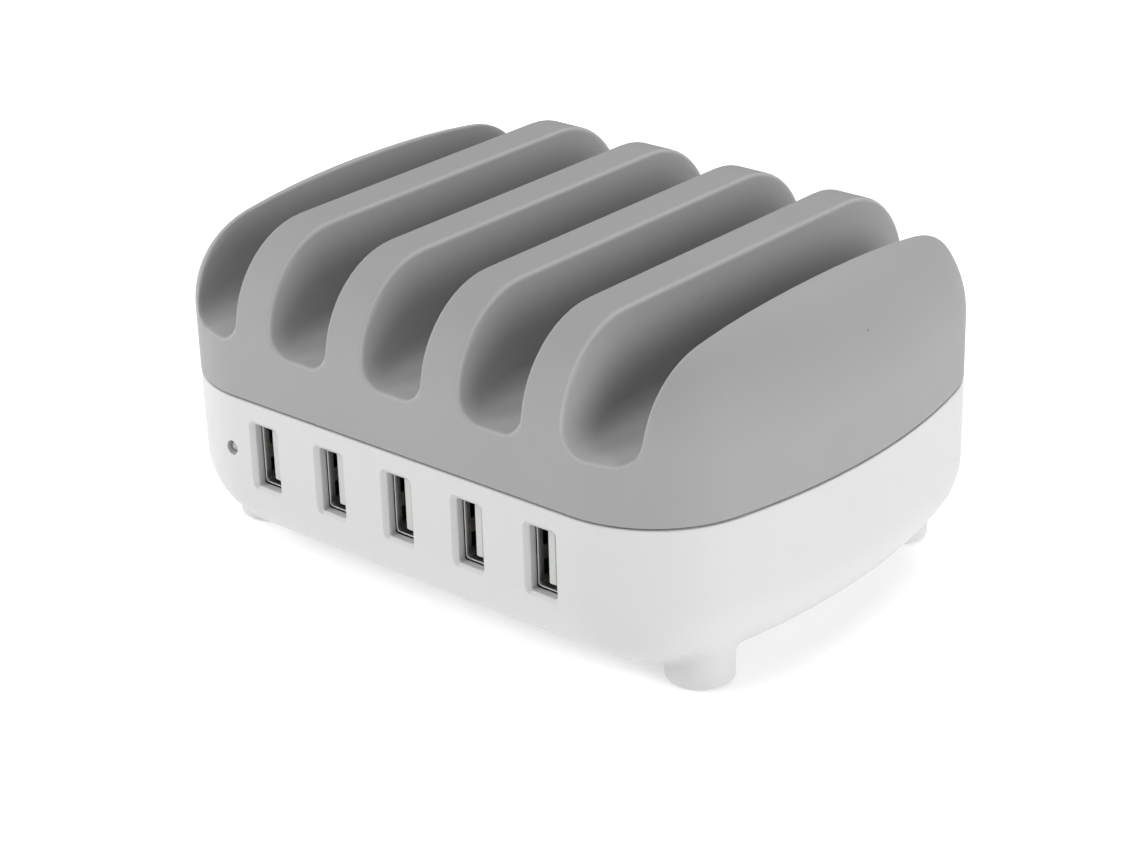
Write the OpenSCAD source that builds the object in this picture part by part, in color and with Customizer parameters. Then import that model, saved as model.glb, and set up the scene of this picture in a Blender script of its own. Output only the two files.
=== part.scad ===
// Desk charging station: a two-part moulded housing with five upright device
// slots over a row of five USB-A sockets, mains inlet at the rear.
// Millimetres. X is the width, the sockets face -Y, the table is Z = 0.

/* [Housing] */
// Width across the widest part of the bowed sides
body_w = 151.3; // [146:0.1:160]
// Depth from the front face to the rear face
body_d = 112.1; // [110:0.1:118]
// Height from the table to the top of the upright fins
body_h = 74; // [70:0.5:80]
// Plan radius of the four corners
corner_r = 25.6; // [24:0.1:28]
// How far each side bows out past the ends of the side
side_bow = 11; // [8:0.5:13]
// Wall thickness of the base and the cover
wall_t = 2.2; // [1.8:0.1:2.6]
// Height of the seam between the base and the cover
seam_z = 38.5; // [37:0.5:42]
// Open shadow gap at the seam
seam_gap = 0.6; // [0.3:0.1:1]
// Thickness of the base's locating lip inside the seam
lip_t = 0.9; // [0.7:0.1:1]
// Height of the locating lip above the seam
lip_rise = 2; // [1.5:0.1:3]
// Clearance round the locating lip
lip_clear = 0.2; // [0.1:0.05:0.3]

/* [Cover] */
// Round-over radius of the cover along the front
front_round = 20; // [16:0.5:22]
// Round-over radius of the cover along the sides
side_round = 22.5; // [18:0.5:23.5]
// Round-over radius of the cover along the rear
rear_round = 20; // [16:0.5:22]
// Number of device slots
slot_count = 5; // [3:1:5]
// Distance between the slot centres
slot_pitch = 26; // [25:0.1:27]
// Width of a slot at its mouth
slot_w = 16.6; // [14:0.1:17]
// Depth of a slot below the top of the fins
slot_depth = 23; // [18:0.5:25]
// Draft of each slot wall in degrees
slot_draft = 1.5; // [0.5:0.1:3]
// Fillet between a slot's floor and its walls
slot_fillet = 5; // [3:0.1:6]

/* [Base] */
// Radius of the rounded lower edge of the base
base_round = 18; // [14:0.5:20]
// Height of the base's underside above the table
base_z = 3; // [2.5:0.1:4]
// Radius of each moulded foot
foot_r = 7; // [6.5:0.1:8]
// Distance of the front feet in from the widest point of the sides
front_foot_side = 15.6; // [14:0.1:18]
// Distance of the front feet behind the front face
front_foot_in = 21; // [19:0.1:24]
// Distance of the rear feet in from the widest point of the sides
rear_foot_side = 20.6; // [19:0.1:23]
// Distance of the rear feet in front of the rear face
rear_foot_in = 17; // [16:0.1:20]
// Radius of a rubber foot pad
pad_r = 5.4; // [4.5:0.1:5.6]
// Thickness of a rubber foot pad
pad_t = 1.4; // [1:0.1:2]
// How far a pad stands below its foot
pad_proud = 0.4; // [0.2:0.1:0.8]
// Radial clearance of a pad in its recess
pad_clear = 0.1; // [0.05:0.05:0.3]

/* [Housing screws] */
// Radius of a screw boss in the base
boss_r = 4.9; // [4.6:0.1:5.2]
// Height of the face where the cover's posts meet the bosses
boss_top_z = 35; // [33:0.5:36]
// Radius of a screw post in the cover
post_r = 3.8; // [3.4:0.1:4.2]
// Radius of a housing screw's shank
screw_r = 1.5; // [1.2:0.1:1.7]
// Length of a housing screw's shank
screw_len = 16; // [14:0.5:18]
// Radius of a screw's head
screw_head_r = 2.8; // [2.5:0.1:3]
// Height of a screw's head
screw_head_h = 2; // [1.5:0.1:2.4]
// Depth of the cross recess in a screw's head
cross_depth = 0.9; // [0.7:0.1:1]
// Width of each arm of the cross recess
cross_w = 0.6; // [0.5:0.1:0.8]
// Shank length that stays in the boss below the seat face
screw_grip = 6; // [4:0.5:8]
// Radial clearance of a screw in its bore
screw_clear = 0.15; // [0.1:0.05:0.3]
// Radial clearance of a thread in its moulded pilot bore
pilot_clear = 0.05; // [0.02:0.01:0.1]
// Bore depth past the tip of a screw
pilot_spare = 1; // [0.5:0.1:2]

/* [USB sockets] */
// Number of USB sockets
port_count = 5; // [5:1:5]
// Distance between the socket centres
port_pitch = 19; // [18:0.1:20]
// Height of the socket centres above the table
port_z = 26.2; // [25.5:0.1:27]
// Height of a socket window at the front face
window_h = 15.8; // [15.4:0.1:16.5]
// Width of a socket window at the front face
window_w = 8.2; // [7.8:0.1:9]
// Chamfer round a socket window
window_chamfer = 0.8; // [0.5:0.1:1]
// Corner radius of a socket window
window_corner = 1.3; // [1:0.1:1.6]
// Height of a socket's metal shell
usb_h = 13.1; // [13:0.05:13.3]
// Width of a socket's metal shell
usb_w = 5.7; // [5.6:0.05:5.9]
// Depth of a socket's metal shell
usb_len = 14; // [13:0.5:15]
// Sheet thickness of a socket's metal shell
usb_sheet = 0.3; // [0.25:0.05:0.35]
// Gap between the front wall and the socket's metal shell
usb_behind = 0.2; // [0.1:0.1:0.5]
// Thickness of a socket's tongue
tongue_t = 1.84; // [1.7:0.02:2]
// Height of a socket's tongue
tongue_h = 10.6; // [10:0.1:11.2]
// Gap between the tongue and the shell wall behind it
tongue_gap = 0.75; // [0.6:0.05:1]
// Setback of the tongue from the shell's front edge
tongue_setback = 1.8; // [1.6:0.1:2.2]
// Depth of the socket's insulating rear block
block_len = 3.4; // [3:0.1:4]
// Clearance of the insulator inside the shell
block_clear = 0.05; // [0.03:0.01:0.1]
// Distance between the two inner contacts
contact_inner = 2; // [1.9:0.1:2.2]
// Distance between the two outer contacts
contact_outer = 7; // [6.8:0.1:7.2]
// Width of a socket contact
contact_w = 1; // [0.8:0.1:1.2]
// Thickness of a socket contact
contact_t = 0.25; // [0.2:0.05:0.3]
// Setback of the contacts from the tongue's tip
contact_setback = 1; // [0.8:0.1:1.5]
// Step between the contacts' tails behind the block
tail_pitch = 1.3; // [1.2:0.1:1.6]
// Length of the springs' cut-outs in a socket's shell
spring_len = 6; // [5:0.5:7]
// Width of the springs' cut-outs in a socket's shell
spring_w = 2; // [1.6:0.1:2.4]
// Distance of the springs' cut-outs from the shell's front edge
spring_in = 3.5; // [3:0.1:4]
// Distance between the springs' cut-outs
spring_pitch = 6; // [5:0.1:7]

/* [Status lamp] */
// Distance of the lamp to the left of the leftmost socket
lamp_offset = 10.2; // [10:0.1:10.5]
// Radius of the lamp's hole in the front wall
lamp_hole_r = 1.6; // [1.55:0.05:1.8]
// Radius of the lamp's lens
lamp_r = 1.45; // [1.3:0.05:1.5]
// Length of the lamp's lens with its dome
lamp_len = 4.4; // [4.2:0.1:5]
// Radius of the lamp's flange
lamp_flange_r = 1.9; // [1.8:0.05:2]
// Thickness of the lamp's flange
lamp_flange_t = 1; // [0.8:0.1:1.2]
// Setback of the lamp's tip from the front face
lamp_setback = 0.7; // [0.4:0.1:1]
// Side of a lamp lead's square section
lead_t = 0.5; // [0.4:0.05:0.6]
// Distance between the lamp's leads
lead_pitch = 2.5; // [2.3:0.1:2.54]
// Straight run of a lamp lead behind the flange
lead_run = 1.6; // [1.2:0.1:2]

/* [Circuit board] */
// Thickness of the circuit board
board_t = 1.6; // [1.2:0.1:2]
// Clearance between the board's edges and the front and rear walls
board_clear = 1.6; // [1.5:0.1:2]
// Distance of the board's side edges out from its outermost posts
board_margin = 7.75; // [7:0.05:8.5]
// Cut across each corner of the board
board_corner = 6; // [5:0.5:8]
// Clearance between the board and the screw bosses
board_boss_clear = 0.8; // [0.5:0.1:1.2]
// Thickness of the insulating sheet below the board
sheet_t = 0.3; // [0.2:0.05:0.5]
// How far the insulating sheet stays inside the board's edges
sheet_inset = 1; // [0.5:0.5:2]
// Radius of a board post in the base
board_post_r = 3; // [2.8:0.1:3.4]
// Distance of the front board posts out from the outermost sockets
board_post_out = 6; // [5.5:0.1:6.5]
// Distance of the rear board posts in from the rear feet
board_post_foot = 11.05; // [10.5:0.05:12]
// Distance of the front board posts behind the front face
board_post_front = 26; // [25:0.5:27]
// Distance of the rear board posts in front of the rear face
board_post_rear = 12; // [11:0.5:13]
// Radius of a board screw's shank
board_screw_r = 1.3; // [1.2:0.1:1.4]
// Length of a board screw's shank
board_screw_len = 7; // [6:0.5:8]
// Radius of a board screw's head
board_head_r = 2.5; // [2.3:0.1:2.7]
// Height of a board screw's head
board_head_h = 1.7; // [1.4:0.1:2]

/* [Mains inlet] */
// Width of the inlet's moulded body
inlet_w = 20.4; // [20:0.1:21]
// Height of the inlet's moulded body
inlet_h = 12.6; // [12.4:0.1:13]
// Depth of the inlet's moulded body
inlet_len = 16.5; // [16:0.1:17.5]
// Corner radius of the inlet's moulded body
inlet_corner = 2; // [1:0.1:3]
// Setback of the inlet's face from the rear face
inlet_setback = 0.3; // [0:0.1:0.6]
// Clearance round the inlet in the rear wall
inlet_clear = 0.2; // [0.1:0.05:0.3]
// Radius of each lobe of the inlet's recess
lobe_r = 4.4; // [4.2:0.1:4.6]
// Distance of each lobe from the inlet's centre
lobe_x = 3.75; // [3.6:0.05:3.9]
// Height of the waist between the lobes
waist_h = 7.6; // [7.2:0.1:8]
// Depth of the inlet's recess
recess_len = 12.5; // [12:0.1:13]
// Radius of an inlet pin
pin_r = 1.2; // [1.15:0.05:1.25]
// Distance between the inlet pins
pin_pitch = 8.6; // [8.4:0.1:8.8]
// Free length of an inlet pin in the recess
pin_len = 9; // [8:0.5:10]
// Length of an inlet pin behind the moulded body
pin_tail = 2; // [1.5:0.1:3]
// Radial clearance of a pin in its hole
pin_clear = 0.03; // [0.02:0.01:0.05]

/* [Transformer] */
// Width of the transformer's core
core_w = 30; // [28:0.5:32]
// Height of the transformer's core
core_h = 22; // [20:0.5:23]
// Thickness of the transformer's core
core_t = 9; // [8:0.5:10]
// Thickness of the core's outer legs and yokes
core_leg = 5; // [4.5:0.1:5.5]
// Half width of the core's centre leg
core_mid = 4.2; // [4:0.1:4.6]
// Height of the pin base below the core
core_base_h = 3; // [2.5:0.1:4]
// Thickness of the bobbin's tube and flanges
bobbin_t = 0.9; // [0.8:0.1:1.2]
// Depth of the bobbin's flanges, front to rear
bobbin_d = 21; // [20:0.5:22]
// Clearance between the bobbin, the core and the winding
bobbin_clear = 0.1; // [0.05:0.05:0.2]
// Transformer position from the middle of the housing: to the right and to the rear
transformer_at = [2, 8]; // [0:0.5:10]

/* [Power parts] */
// Radius of the rolled groove round each capacitor's can
groove_r = 0.5; // [0.3:0.1:0.7]
// Height of the rolled groove above the board
groove_z = 1.6; // [1.2:0.1:2.5]
// Radius of a bulk capacitor
bulk_r = 6.4; // [6:0.1:6.6]
// Height of a bulk capacitor
bulk_h = 25; // [22:0.5:26]
// Position of the first bulk capacitor from the middle of the housing
bulk_at = [-38, -12]; // [-40:0.5:-10]
// Distance between the bulk capacitors
bulk_pitch = 14.5; // [14:0.5:16]
// Radius of an output capacitor
output_r = 5; // [4.5:0.1:5.2]
// Height of an output capacitor
output_h = 16; // [14:0.5:18]
// Distance of the first output capacitor to the left of the middle
output_left = 20; // [18:0.5:21]
// Gap between the controller chips and the output capacitors
output_clear = 1.75; // [1:0.25:2]
// Distance between the output capacitors
output_pitch = 12; // [11.5:0.5:13]
// Width, depth and height of the interference capacitor
x_cap = [15, 8, 13]; // [6:0.5:18]
// Interference capacitor: to the right of the middle, and in from the board's rear edge
x_cap_at = [-25, 10.25]; // [-27:0.25:12]
// Outer radius of the choke's core
choke_r = 7; // [6.5:0.1:7.5]
// Inner radius of the choke's core
choke_hole_r = 3.6; // [3.4:0.1:4]
// Thickness of the choke's core
choke_h = 6; // [5:0.1:7]
// Thickness of the wire layer round the choke's core
choke_wire = 1.1; // [0.8:0.1:1.4]
// Clearance between the choke's core and its wire
choke_clear = 0.05; // [0.03:0.01:0.1]
// Choke: to the right of the middle, and in from the board's rear edge
choke_at = [-29, 28.25]; // [-31:0.25:30]
// Angle that each half of the choke's wire covers
choke_angle = 130; // [100:5:150]
// Radius and length of the fuse
fuse_size = [2.2, 9]; // [2:0.1:10]
// Fuse: to the right of the middle, and in from the board's rear edge
fuse_at = [21, 7.25]; // [6:0.25:24]
// Radius and thickness of the inrush thermistor
thermistor_size = [4.5, 3]; // [2.5:0.1:5]
// Thermistor: to the right of the middle, and in from the board's rear edge
thermistor_at = [20, 18.25]; // [17:0.25:23]
// Radius and thickness of the safety capacitor
y_cap_size = [3.8, 3]; // [2.5:0.1:4.5]
// Distance of the safety capacitor to the right of the middle
y_cap_right = 4; // [2:0.5:8]
// Width, depth and height of the bridge rectifier
bridge = [14, 3.6, 11]; // [3:0.1:16]
// Bridge rectifier: to the right of the middle, and in from the board's rear edge
bridge_at = [33, 28.25]; // [27:0.25:35]
// Width, depth and height of the optocoupler
opto = [4.6, 6.5, 3.6]; // [3:0.1:8]
// Distance of the optocoupler to the left of the middle
opto_left = 10; // [8:0.5:14]
// Gap between the output capacitors and the optocoupler
opto_clear = 1.75; // [1:0.25:2]

/* [Heat sinks] */
// Length of a heat sink
sink_len = 24; // [20:0.5:26]
// Height of a heat sink
sink_h = 20; // [18:0.5:24]
// Thickness of a heat sink's plate
sink_t = 1.6; // [1.2:0.1:2]
// Depth of a heat sink's ribs
sink_rib = 3; // [2:0.1:4]
// Number of ribs on a heat sink
sink_ribs = 5; // [3:1:6]
// Position of the primary heat sink from the middle of the housing
sink_at = [34, 6]; // [4:0.5:36]
// Gap between the controller chips and the output rectifier
sink_out_clear = 5.35; // [4:0.05:6]
// Width, thickness and height of a power device's body
device = [10, 4.4, 15.5]; // [4:0.1:17]
// Gap between the board and a power device's body
device_lift = 3; // [2:0.1:4]
// Width and thickness of a device leg
device_leg = [0.8, 0.6]; // [0.4:0.1:1]
// Distance between device legs
device_leg_pitch = 2.54; // [2.5:0.01:2.6]

/* [Controllers] */
// Width, depth and height of a socket controller chip
chip = [5, 4, 1.5]; // [1:0.1:6]
// Distance of the controller chips behind the sockets' contact tails
chip_in = 1.5; // [1:0.1:2.5]

/* [Hidden] */

$fn = 48;
// How far a cutter runs past the face it cuts
over = 1;
half_w = body_w / 2;
half_d = body_d / 2;
// Plan outline: straight front and rear, corner arcs, bowed side arcs
side_r = (half_d * half_d + side_bow * side_bow) / (2 * side_bow);
side_x = half_w - side_r;
corner_y = half_d - corner_r;
corner_x = side_x + sqrt(pow(side_r - corner_r, 2) - corner_y * corner_y);
side_a = atan2(corner_y, corner_x - side_x);
corner_steps = 8;
side_steps = 6;
round_steps = 8;
// Each station of the outline: centre x, centre y, radius, direction
right_stations = concat(
  [for (i = [0:corner_steps]) [corner_x, -corner_y, corner_r, -90 + i * (90 - side_a) / corner_steps]],
  [for (i = [1:side_steps - 1]) [side_x, 0, side_r, side_a * (2 * i / side_steps - 1)]],
  [for (i = [0:corner_steps]) [corner_x, corner_y, corner_r, side_a + i * (90 - side_a) / corner_steps]]
);
left_stations = [
  for (i = [len(right_stations) - 1:-1:0]) let (s = right_stations[i]) [-s[0], s[1], s[2], 180 - s[3]]
];
stations = concat(right_stations, left_stations);

cover_rim_z = seam_z + seam_gap / 2;
base_rim_z = seam_z - seam_gap / 2;
lip_top_z = seam_z + lip_rise;
slot_floor_z = body_h - slot_depth;
slot_foot_w = slot_w / 2 - slot_depth * tan(slot_draft);
fillet_x = slot_foot_w + slot_fillet * tan(slot_draft) - slot_fillet / cos(slot_draft);
slot_xs = [for (i = [0:slot_count - 1]) (i - (slot_count - 1) / 2) * slot_pitch];

foot_bottom_z = pad_proud;
foot_spots = [
  for (s = [-1, 1]) each [
    [s * (half_w - front_foot_side), -half_d + front_foot_in],
    [s * (half_w - rear_foot_side), half_d - rear_foot_in]
  ]
];
screw_seat_z = boss_top_z - screw_grip;

port_xs = [for (i = [0:port_count - 1]) (i - (port_count - 1) / 2) * port_pitch];
usb_front_y = -half_d + wall_t + usb_behind;
usb_rear_y = usb_front_y + usb_len;
tongue_x = usb_w / 2 - usb_sheet - tongue_gap - tongue_t;
contact_zs = [-contact_outer / 2, -contact_inner / 2, contact_inner / 2, contact_outer / 2];
tail_drop = contact_w / 2;

board_top_z = port_z - usb_h / 2;
board_z = board_top_z - board_t;
post_top_z = board_z - sheet_t;
board_front_y = -half_d + wall_t + board_clear;
board_rear_y = half_d - wall_t - board_clear;
front_post_x = port_xs[port_count - 1] + board_post_out;
rear_post_x = half_w - rear_foot_side - board_post_foot;
board_side_x = max(front_post_x, rear_post_x) + board_margin;
board_posts = [
  for (s = [-1, 1]) each [
    [s * front_post_x, -half_d + board_post_front],
    [s * rear_post_x, half_d - board_post_rear]
  ]
];

// The lamp follows the front wall where that starts to curve back
lamp_x = port_xs[0] - lamp_offset;
lamp_wall_y = -corner_y - sqrt(pow(corner_r, 2) - pow(max(-lamp_x - corner_x, 0), 2));
lamp_tip_y = lamp_wall_y + lamp_setback;
lamp_flange_y = lamp_tip_y + lamp_len;
lamp_back_y = lamp_flange_y + lamp_flange_t;

// Rows of parts behind the sockets' contact tails
chip_y = usb_rear_y + (len(contact_zs) - 1) * tail_pitch + tail_drop + chip_in + chip[1] / 2;
chip_rear_y = chip_y + chip[1] / 2;
output_y = chip_rear_y + output_clear + output_r;
control_y = output_y + output_r + opto_clear + opto[1] / 2;
sink_out_y = chip_rear_y + sink_out_clear + device[1];

inlet_z = board_top_z + inlet_h / 2;
inlet_face_y = half_d - inlet_setback;
recess_floor_y = inlet_face_y - recess_len;

core_z = board_top_z + core_base_h;
core_mid_z = core_z + core_h / 2;
yoke_space = core_h - 2 * core_leg;
bobbin_top_z = core_z + core_leg + yoke_space - bobbin_clear;
bobbin_low_z = core_z + core_leg + bobbin_clear;
window_x = core_w / 2 - core_leg;

grey = [0.68, 0.68, 0.68];
white = [0.94, 0.94, 0.94];
metal = [0.78, 0.79, 0.8];
ferrite = [0.22, 0.22, 0.23];
copper = [0.78, 0.48, 0.25];
black = [0.1, 0.1, 0.11];

function inset_point(s, d) = [s[0] + (s[2] - d) * cos(s[3]), s[1] + (s[2] - d) * sin(s[3])];
function flat_ring(d, z) = [for (s = stations) let (p = inset_point(s, d)) [p[0], p[1], z]];
// Round-over radius in the direction a: the sides', passing into the front's or the rear's
function round_at(a) = side_round + ((sin(a) < 0 ? front_round : rear_round) - side_round) * pow(sin(a), 2);
function dome_ring(t, wall) = [
  for (s = stations)
    let (r = round_at(s[3]) - wall, p = inset_point(s, wall + r * (1 - cos(t))))
      [p[0], p[1], body_h - wall - r * (1 - sin(t))]
];
function tub_ring(t, wall) =
  let (r = base_round - wall) flat_ring(wall + r * (1 - sin(t)), base_z + wall + r * (1 - cos(t)));
function window_ring(grow, depth) = [
  for (c = [[1, 1, 0], [-1, 1, 90], [-1, -1, 180], [1, -1, 270]])
    for (a = [0:30:90])
      [
        c[0] * (window_w / 2 - window_corner) + (window_corner + grow) * cos(c[2] + a),
        c[1] * (window_h / 2 - window_corner) + (window_corner + grow) * sin(c[2] + a),
        depth
      ]
];

// Solid through a stack of rings with the same number of points, lowest ring first
module loft(rings) {
  n = len(rings[0]);
  m = len(rings);
  polyhedron(
    points = [for (r = rings) each r],
    faces = concat(
      [[for (i = [0:n - 1]) i]],
      [[for (i = [n - 1:-1:0]) (m - 1) * n + i]],
      [
        for (k = [0:m - 2])
          for (i = [0:n - 1])
            let (j = (i + 1) % n)
              each [[k * n + i, (k + 1) * n + i, (k + 1) * n + j], [k * n + i, (k + 1) * n + j, k * n + j]]
      ]
    )
  );
}

// Turns a flat shape in X and Z into a prism along Y
module along_y(y_low, y_high) {
  translate([0, y_high, 0])
    rotate([90, 0, 0])
      linear_extrude(height = y_high - y_low)
        children();
}

module box(low, high) {
  translate(low)
    cube(high - low);
}

module on_board(spot) {
  translate([spot[0], spot[1], board_top_z])
    children();
}

// Places a part on the board by its distance in from the board's rear edge
module on_board_rear(spot) {
  on_board([spot[0], board_rear_y - spot[1]])
    children();
}

// Section of a slot in X and Z, grown by a wall for the cavity below it
module slot_section(grow) {
  foot_x = fillet_x + (slot_fillet + grow) * cos(slot_draft);
  foot_z = slot_floor_z + slot_fillet - (slot_fillet + grow) * sin(slot_draft);
  mouth_z = body_h + over + grow;
  mouth_x = foot_x + (mouth_z - foot_z) * tan(slot_draft);
  polygon([
    [-foot_x, foot_z], [-fillet_x, slot_floor_z - grow], [fillet_x, slot_floor_z - grow],
    [foot_x, foot_z], [mouth_x, mouth_z], [-mouth_x, mouth_z]
  ]);
  for (s = [-1, 1])
    translate([s * fillet_x, slot_floor_z + slot_fillet])
      circle(r = slot_fillet + grow);
}

module slots(grow) {
  for (x = slot_xs)
    translate([x, 0, 0])
      along_y(-half_d - over, half_d + over)
        slot_section(grow);
}

// Loaf under the cover's outside, moved in by an inset
module loaf(inset, low_z) {
  dome = [for (k = [0:round_steps]) dome_ring(90 * k / round_steps, inset)];
  loft(concat([flat_ring(inset, low_z)], dome));
}

module cover_hollow() {
  difference() {
    loaf(wall_t, cover_rim_z - over);
    slots(wall_t);
  }
}

module top_cover() {
  rebate = wall_t - lip_t - lip_clear;
  color(grey)
    difference() {
      union() {
        difference() {
          loaf(0, cover_rim_z);
          cover_hollow();
          loft([flat_ring(rebate, cover_rim_z - over), flat_ring(rebate, lip_top_z + lip_clear)]);
        }
        for (p = foot_spots) {
          translate([p[0], p[1], boss_top_z])
            cylinder(r = post_r, h = slot_floor_z - boss_top_z);
          intersection() {
            loaf(wall_t / 2, cover_rim_z);
            translate([p[0], p[1], slot_floor_z - wall_t])
              cylinder(r = post_r, h = body_h - slot_floor_z);
          }
        }
      }
      slots(0);
      for (p = foot_spots)
        translate([p[0], p[1], boss_top_z - over])
          cylinder(r = screw_r + pilot_clear, h = screw_len - screw_grip + pilot_spare + over);
    }
}

module socket_window() {
  translate([0, -half_d + wall_t, port_z])
    rotate([90, 0, 0])
      loft([
        window_ring(-window_chamfer, -over),
        window_ring(-window_chamfer, wall_t - window_chamfer),
        window_ring(0, wall_t),
        window_ring(0, wall_t + over)
      ]);
}

module tub_outside() {
  loft(concat([for (k = [0:round_steps]) tub_ring(90 * k / round_steps, 0)], [flat_ring(0, base_rim_z)]));
}

module tub_inside() {
  bowl = [for (k = [0:round_steps]) tub_ring(90 * k / round_steps, wall_t)];
  loft(concat(bowl, [flat_ring(wall_t, lip_top_z + over)]));
}

module base_shell() {
  color(white)
    difference() {
      union() {
        difference() {
          union() {
            tub_outside();
            loft([flat_ring(wall_t - lip_t, base_rim_z - wall_t), flat_ring(wall_t - lip_t, lip_top_z)]);
            for (p = foot_spots)
              translate([p[0], p[1], foot_bottom_z])
                cylinder(r = foot_r, h = base_z + base_round - foot_bottom_z);
          }
          tub_inside();
        }
        for (p = foot_spots)
          translate([p[0], p[1], base_z])
            cylinder(r = boss_r, h = boss_top_z - base_z);
        intersection() {
          tub_outside();
          for (p = board_posts)
            translate([p[0], p[1], base_z])
              cylinder(r = board_post_r, h = post_top_z - base_z);
        }
      }
      for (x = port_xs)
        translate([x, 0, 0])
          socket_window();
      translate([lamp_x, lamp_wall_y - over, port_z])
        rotate([-90, 0, 0])
          cylinder(r = lamp_hole_r, h = wall_t + 2 * over);
      along_y(half_d - wall_t - over, half_d + over)
        inlet_outline(inlet_clear);
      for (p = foot_spots)
        translate([p[0], p[1], 0]) {
          cylinder(r = pad_r + pad_clear, h = pad_t);
          cylinder(r = screw_head_r + screw_clear, h = screw_seat_z);
          cylinder(r = screw_r + screw_clear, h = boss_top_z + over);
        }
      for (p = board_posts)
        translate([p[0], p[1], board_top_z - board_screw_len - pilot_spare])
          cylinder(r = board_screw_r + pilot_clear, h = board_screw_len + pilot_spare);
    }
}

module foot_pads() {
  color(black)
    for (p = foot_spots)
      translate([p[0], p[1], 0])
        cylinder(r = pad_r, h = pad_t);
}

module screw(shank_r, shank_len, head_r, head_h) {
  cylinder(r = shank_r, h = shank_len);
  difference() {
    translate([0, 0, -head_h])
      cylinder(r = head_r, h = head_h);
    translate([0, 0, -head_h])
      for (a = [0, 90])
        rotate([0, 0, a])
          translate([-head_r / 2, -cross_w / 2, 0])
            cube([head_r, cross_w, cross_depth]);
  }
}

module housing_screws() {
  color(metal)
    for (p = foot_spots)
      translate([p[0], p[1], screw_seat_z])
        screw(screw_r, screw_len, screw_head_r, screw_head_h);
}

module board_screws() {
  color(metal)
    for (p = board_posts)
      translate([p[0], p[1], board_top_z])
        mirror([0, 0, 1])
          screw(board_screw_r, board_screw_len, board_head_r, board_head_h);
}

module status_lamp() {
  color([0.75, 0.76, 0.78])
    translate([lamp_x, lamp_back_y, port_z])
      rotate([90, 0, 0])
        rotate_extrude() {
          square([lamp_flange_r, lamp_flange_t]);
          square([lamp_r, lamp_flange_t + lamp_len - lamp_r]);
          translate([0, lamp_flange_t + lamp_len - lamp_r])
            intersection() {
              circle(r = lamp_r);
              square(lamp_r);
            }
        }
}

module lamp_leads() {
  color(metal)
    for (s = [-1, 1])
      translate([lamp_x + s * lead_pitch / 2 - lead_t / 2, lamp_back_y, 0])
        rotate([90, 0, 90])
          linear_extrude(height = lead_t)
            polygon([
              [0, port_z - lead_t / 2], [lead_run - lead_t, port_z - lead_t / 2],
              [lead_run - lead_t, board_top_z], [lead_run, board_top_z],
              [lead_run, port_z + lead_t / 2], [0, port_z + lead_t / 2]
            ]);
}

// Plan of the board with its corners cut and room for the screw bosses
module board_plan(inset) {
  w = board_side_x - inset;
  front = board_front_y + inset;
  rear = board_rear_y - inset;
  difference() {
    polygon([
      [-w + board_corner, front], [w - board_corner, front],
      [w, front + board_corner], [w, rear - board_corner],
      [w - board_corner, rear], [-w + board_corner, rear],
      [-w, rear - board_corner], [-w, front + board_corner]
    ]);
    for (p = foot_spots)
      translate(p)
        circle(r = boss_r + board_boss_clear + inset);
    for (p = board_posts)
      translate(p)
        circle(r = board_screw_r + screw_clear);
  }
}

module main_board() {
  color([0.12, 0.4, 0.24])
    translate([0, 0, board_z])
      linear_extrude(height = board_t)
        board_plan(0);
}

module insulating_sheet() {
  color([0.9, 0.88, 0.8])
    translate([0, 0, post_top_z])
      linear_extrude(height = sheet_t)
        board_plan(sheet_inset);
}

module usb_shell(i) {
  inner_w = usb_w - 2 * usb_sheet;
  inner_h = usb_h - 2 * usb_sheet;
  color(metal)
    translate([port_xs[i - 1], 0, port_z])
      difference() {
        box([-usb_w / 2, usb_front_y, -usb_h / 2], [usb_w / 2, usb_rear_y, usb_h / 2]);
        box([-inner_w / 2, usb_front_y - over, -inner_h / 2], [inner_w / 2, usb_rear_y + over, inner_h / 2]);
        for (s = [-1, 1])
          box(
            [-usb_w, usb_front_y + spring_in, s * spring_pitch / 2 - spring_w / 2],
            [usb_w, usb_front_y + spring_in + spring_len, s * spring_pitch / 2 + spring_w / 2]
          );
      }
}

module usb_tongue(i) {
  inner_w = usb_w - 2 * usb_sheet;
  inner_h = usb_h - 2 * usb_sheet;
  block_y = usb_rear_y - block_len;
  color(white)
    translate([port_xs[i - 1], 0, port_z])
      difference() {
        union() {
          box(
            [-inner_w / 2 + block_clear, block_y, -inner_h / 2],
            [inner_w / 2 - block_clear, usb_rear_y, inner_h / 2 - block_clear]
          );
          box(
            [tongue_x, usb_front_y + tongue_setback, -tongue_h / 2],
            [tongue_x + tongue_t, block_y + over, tongue_h / 2]
          );
        }
        for (z = contact_zs)
          box(
            [tongue_x - contact_t, block_y - over, z - contact_w / 2],
            [tongue_x, usb_rear_y + over, z + contact_w / 2]
          );
      }
}

module usb_contacts(i) {
  tip_y = usb_front_y + tongue_setback + contact_setback;
  color([0.85, 0.7, 0.35])
    for (k = [0:len(contact_zs) - 1]) {
      z = port_z + contact_zs[k];
      tail_y = usb_rear_y + k * tail_pitch;
      translate([port_xs[i - 1] + tongue_x - contact_t, 0, 0])
        rotate([90, 0, 90])
          linear_extrude(height = contact_t)
            polygon([
              [tip_y, z - contact_w / 2], [tail_y, z - contact_w / 2],
              [tail_y, board_top_z], [tail_y + tail_drop, board_top_z],
              [tail_y + tail_drop, z + contact_w / 2], [tip_y, z + contact_w / 2]
            ]);
    }
}

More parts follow.
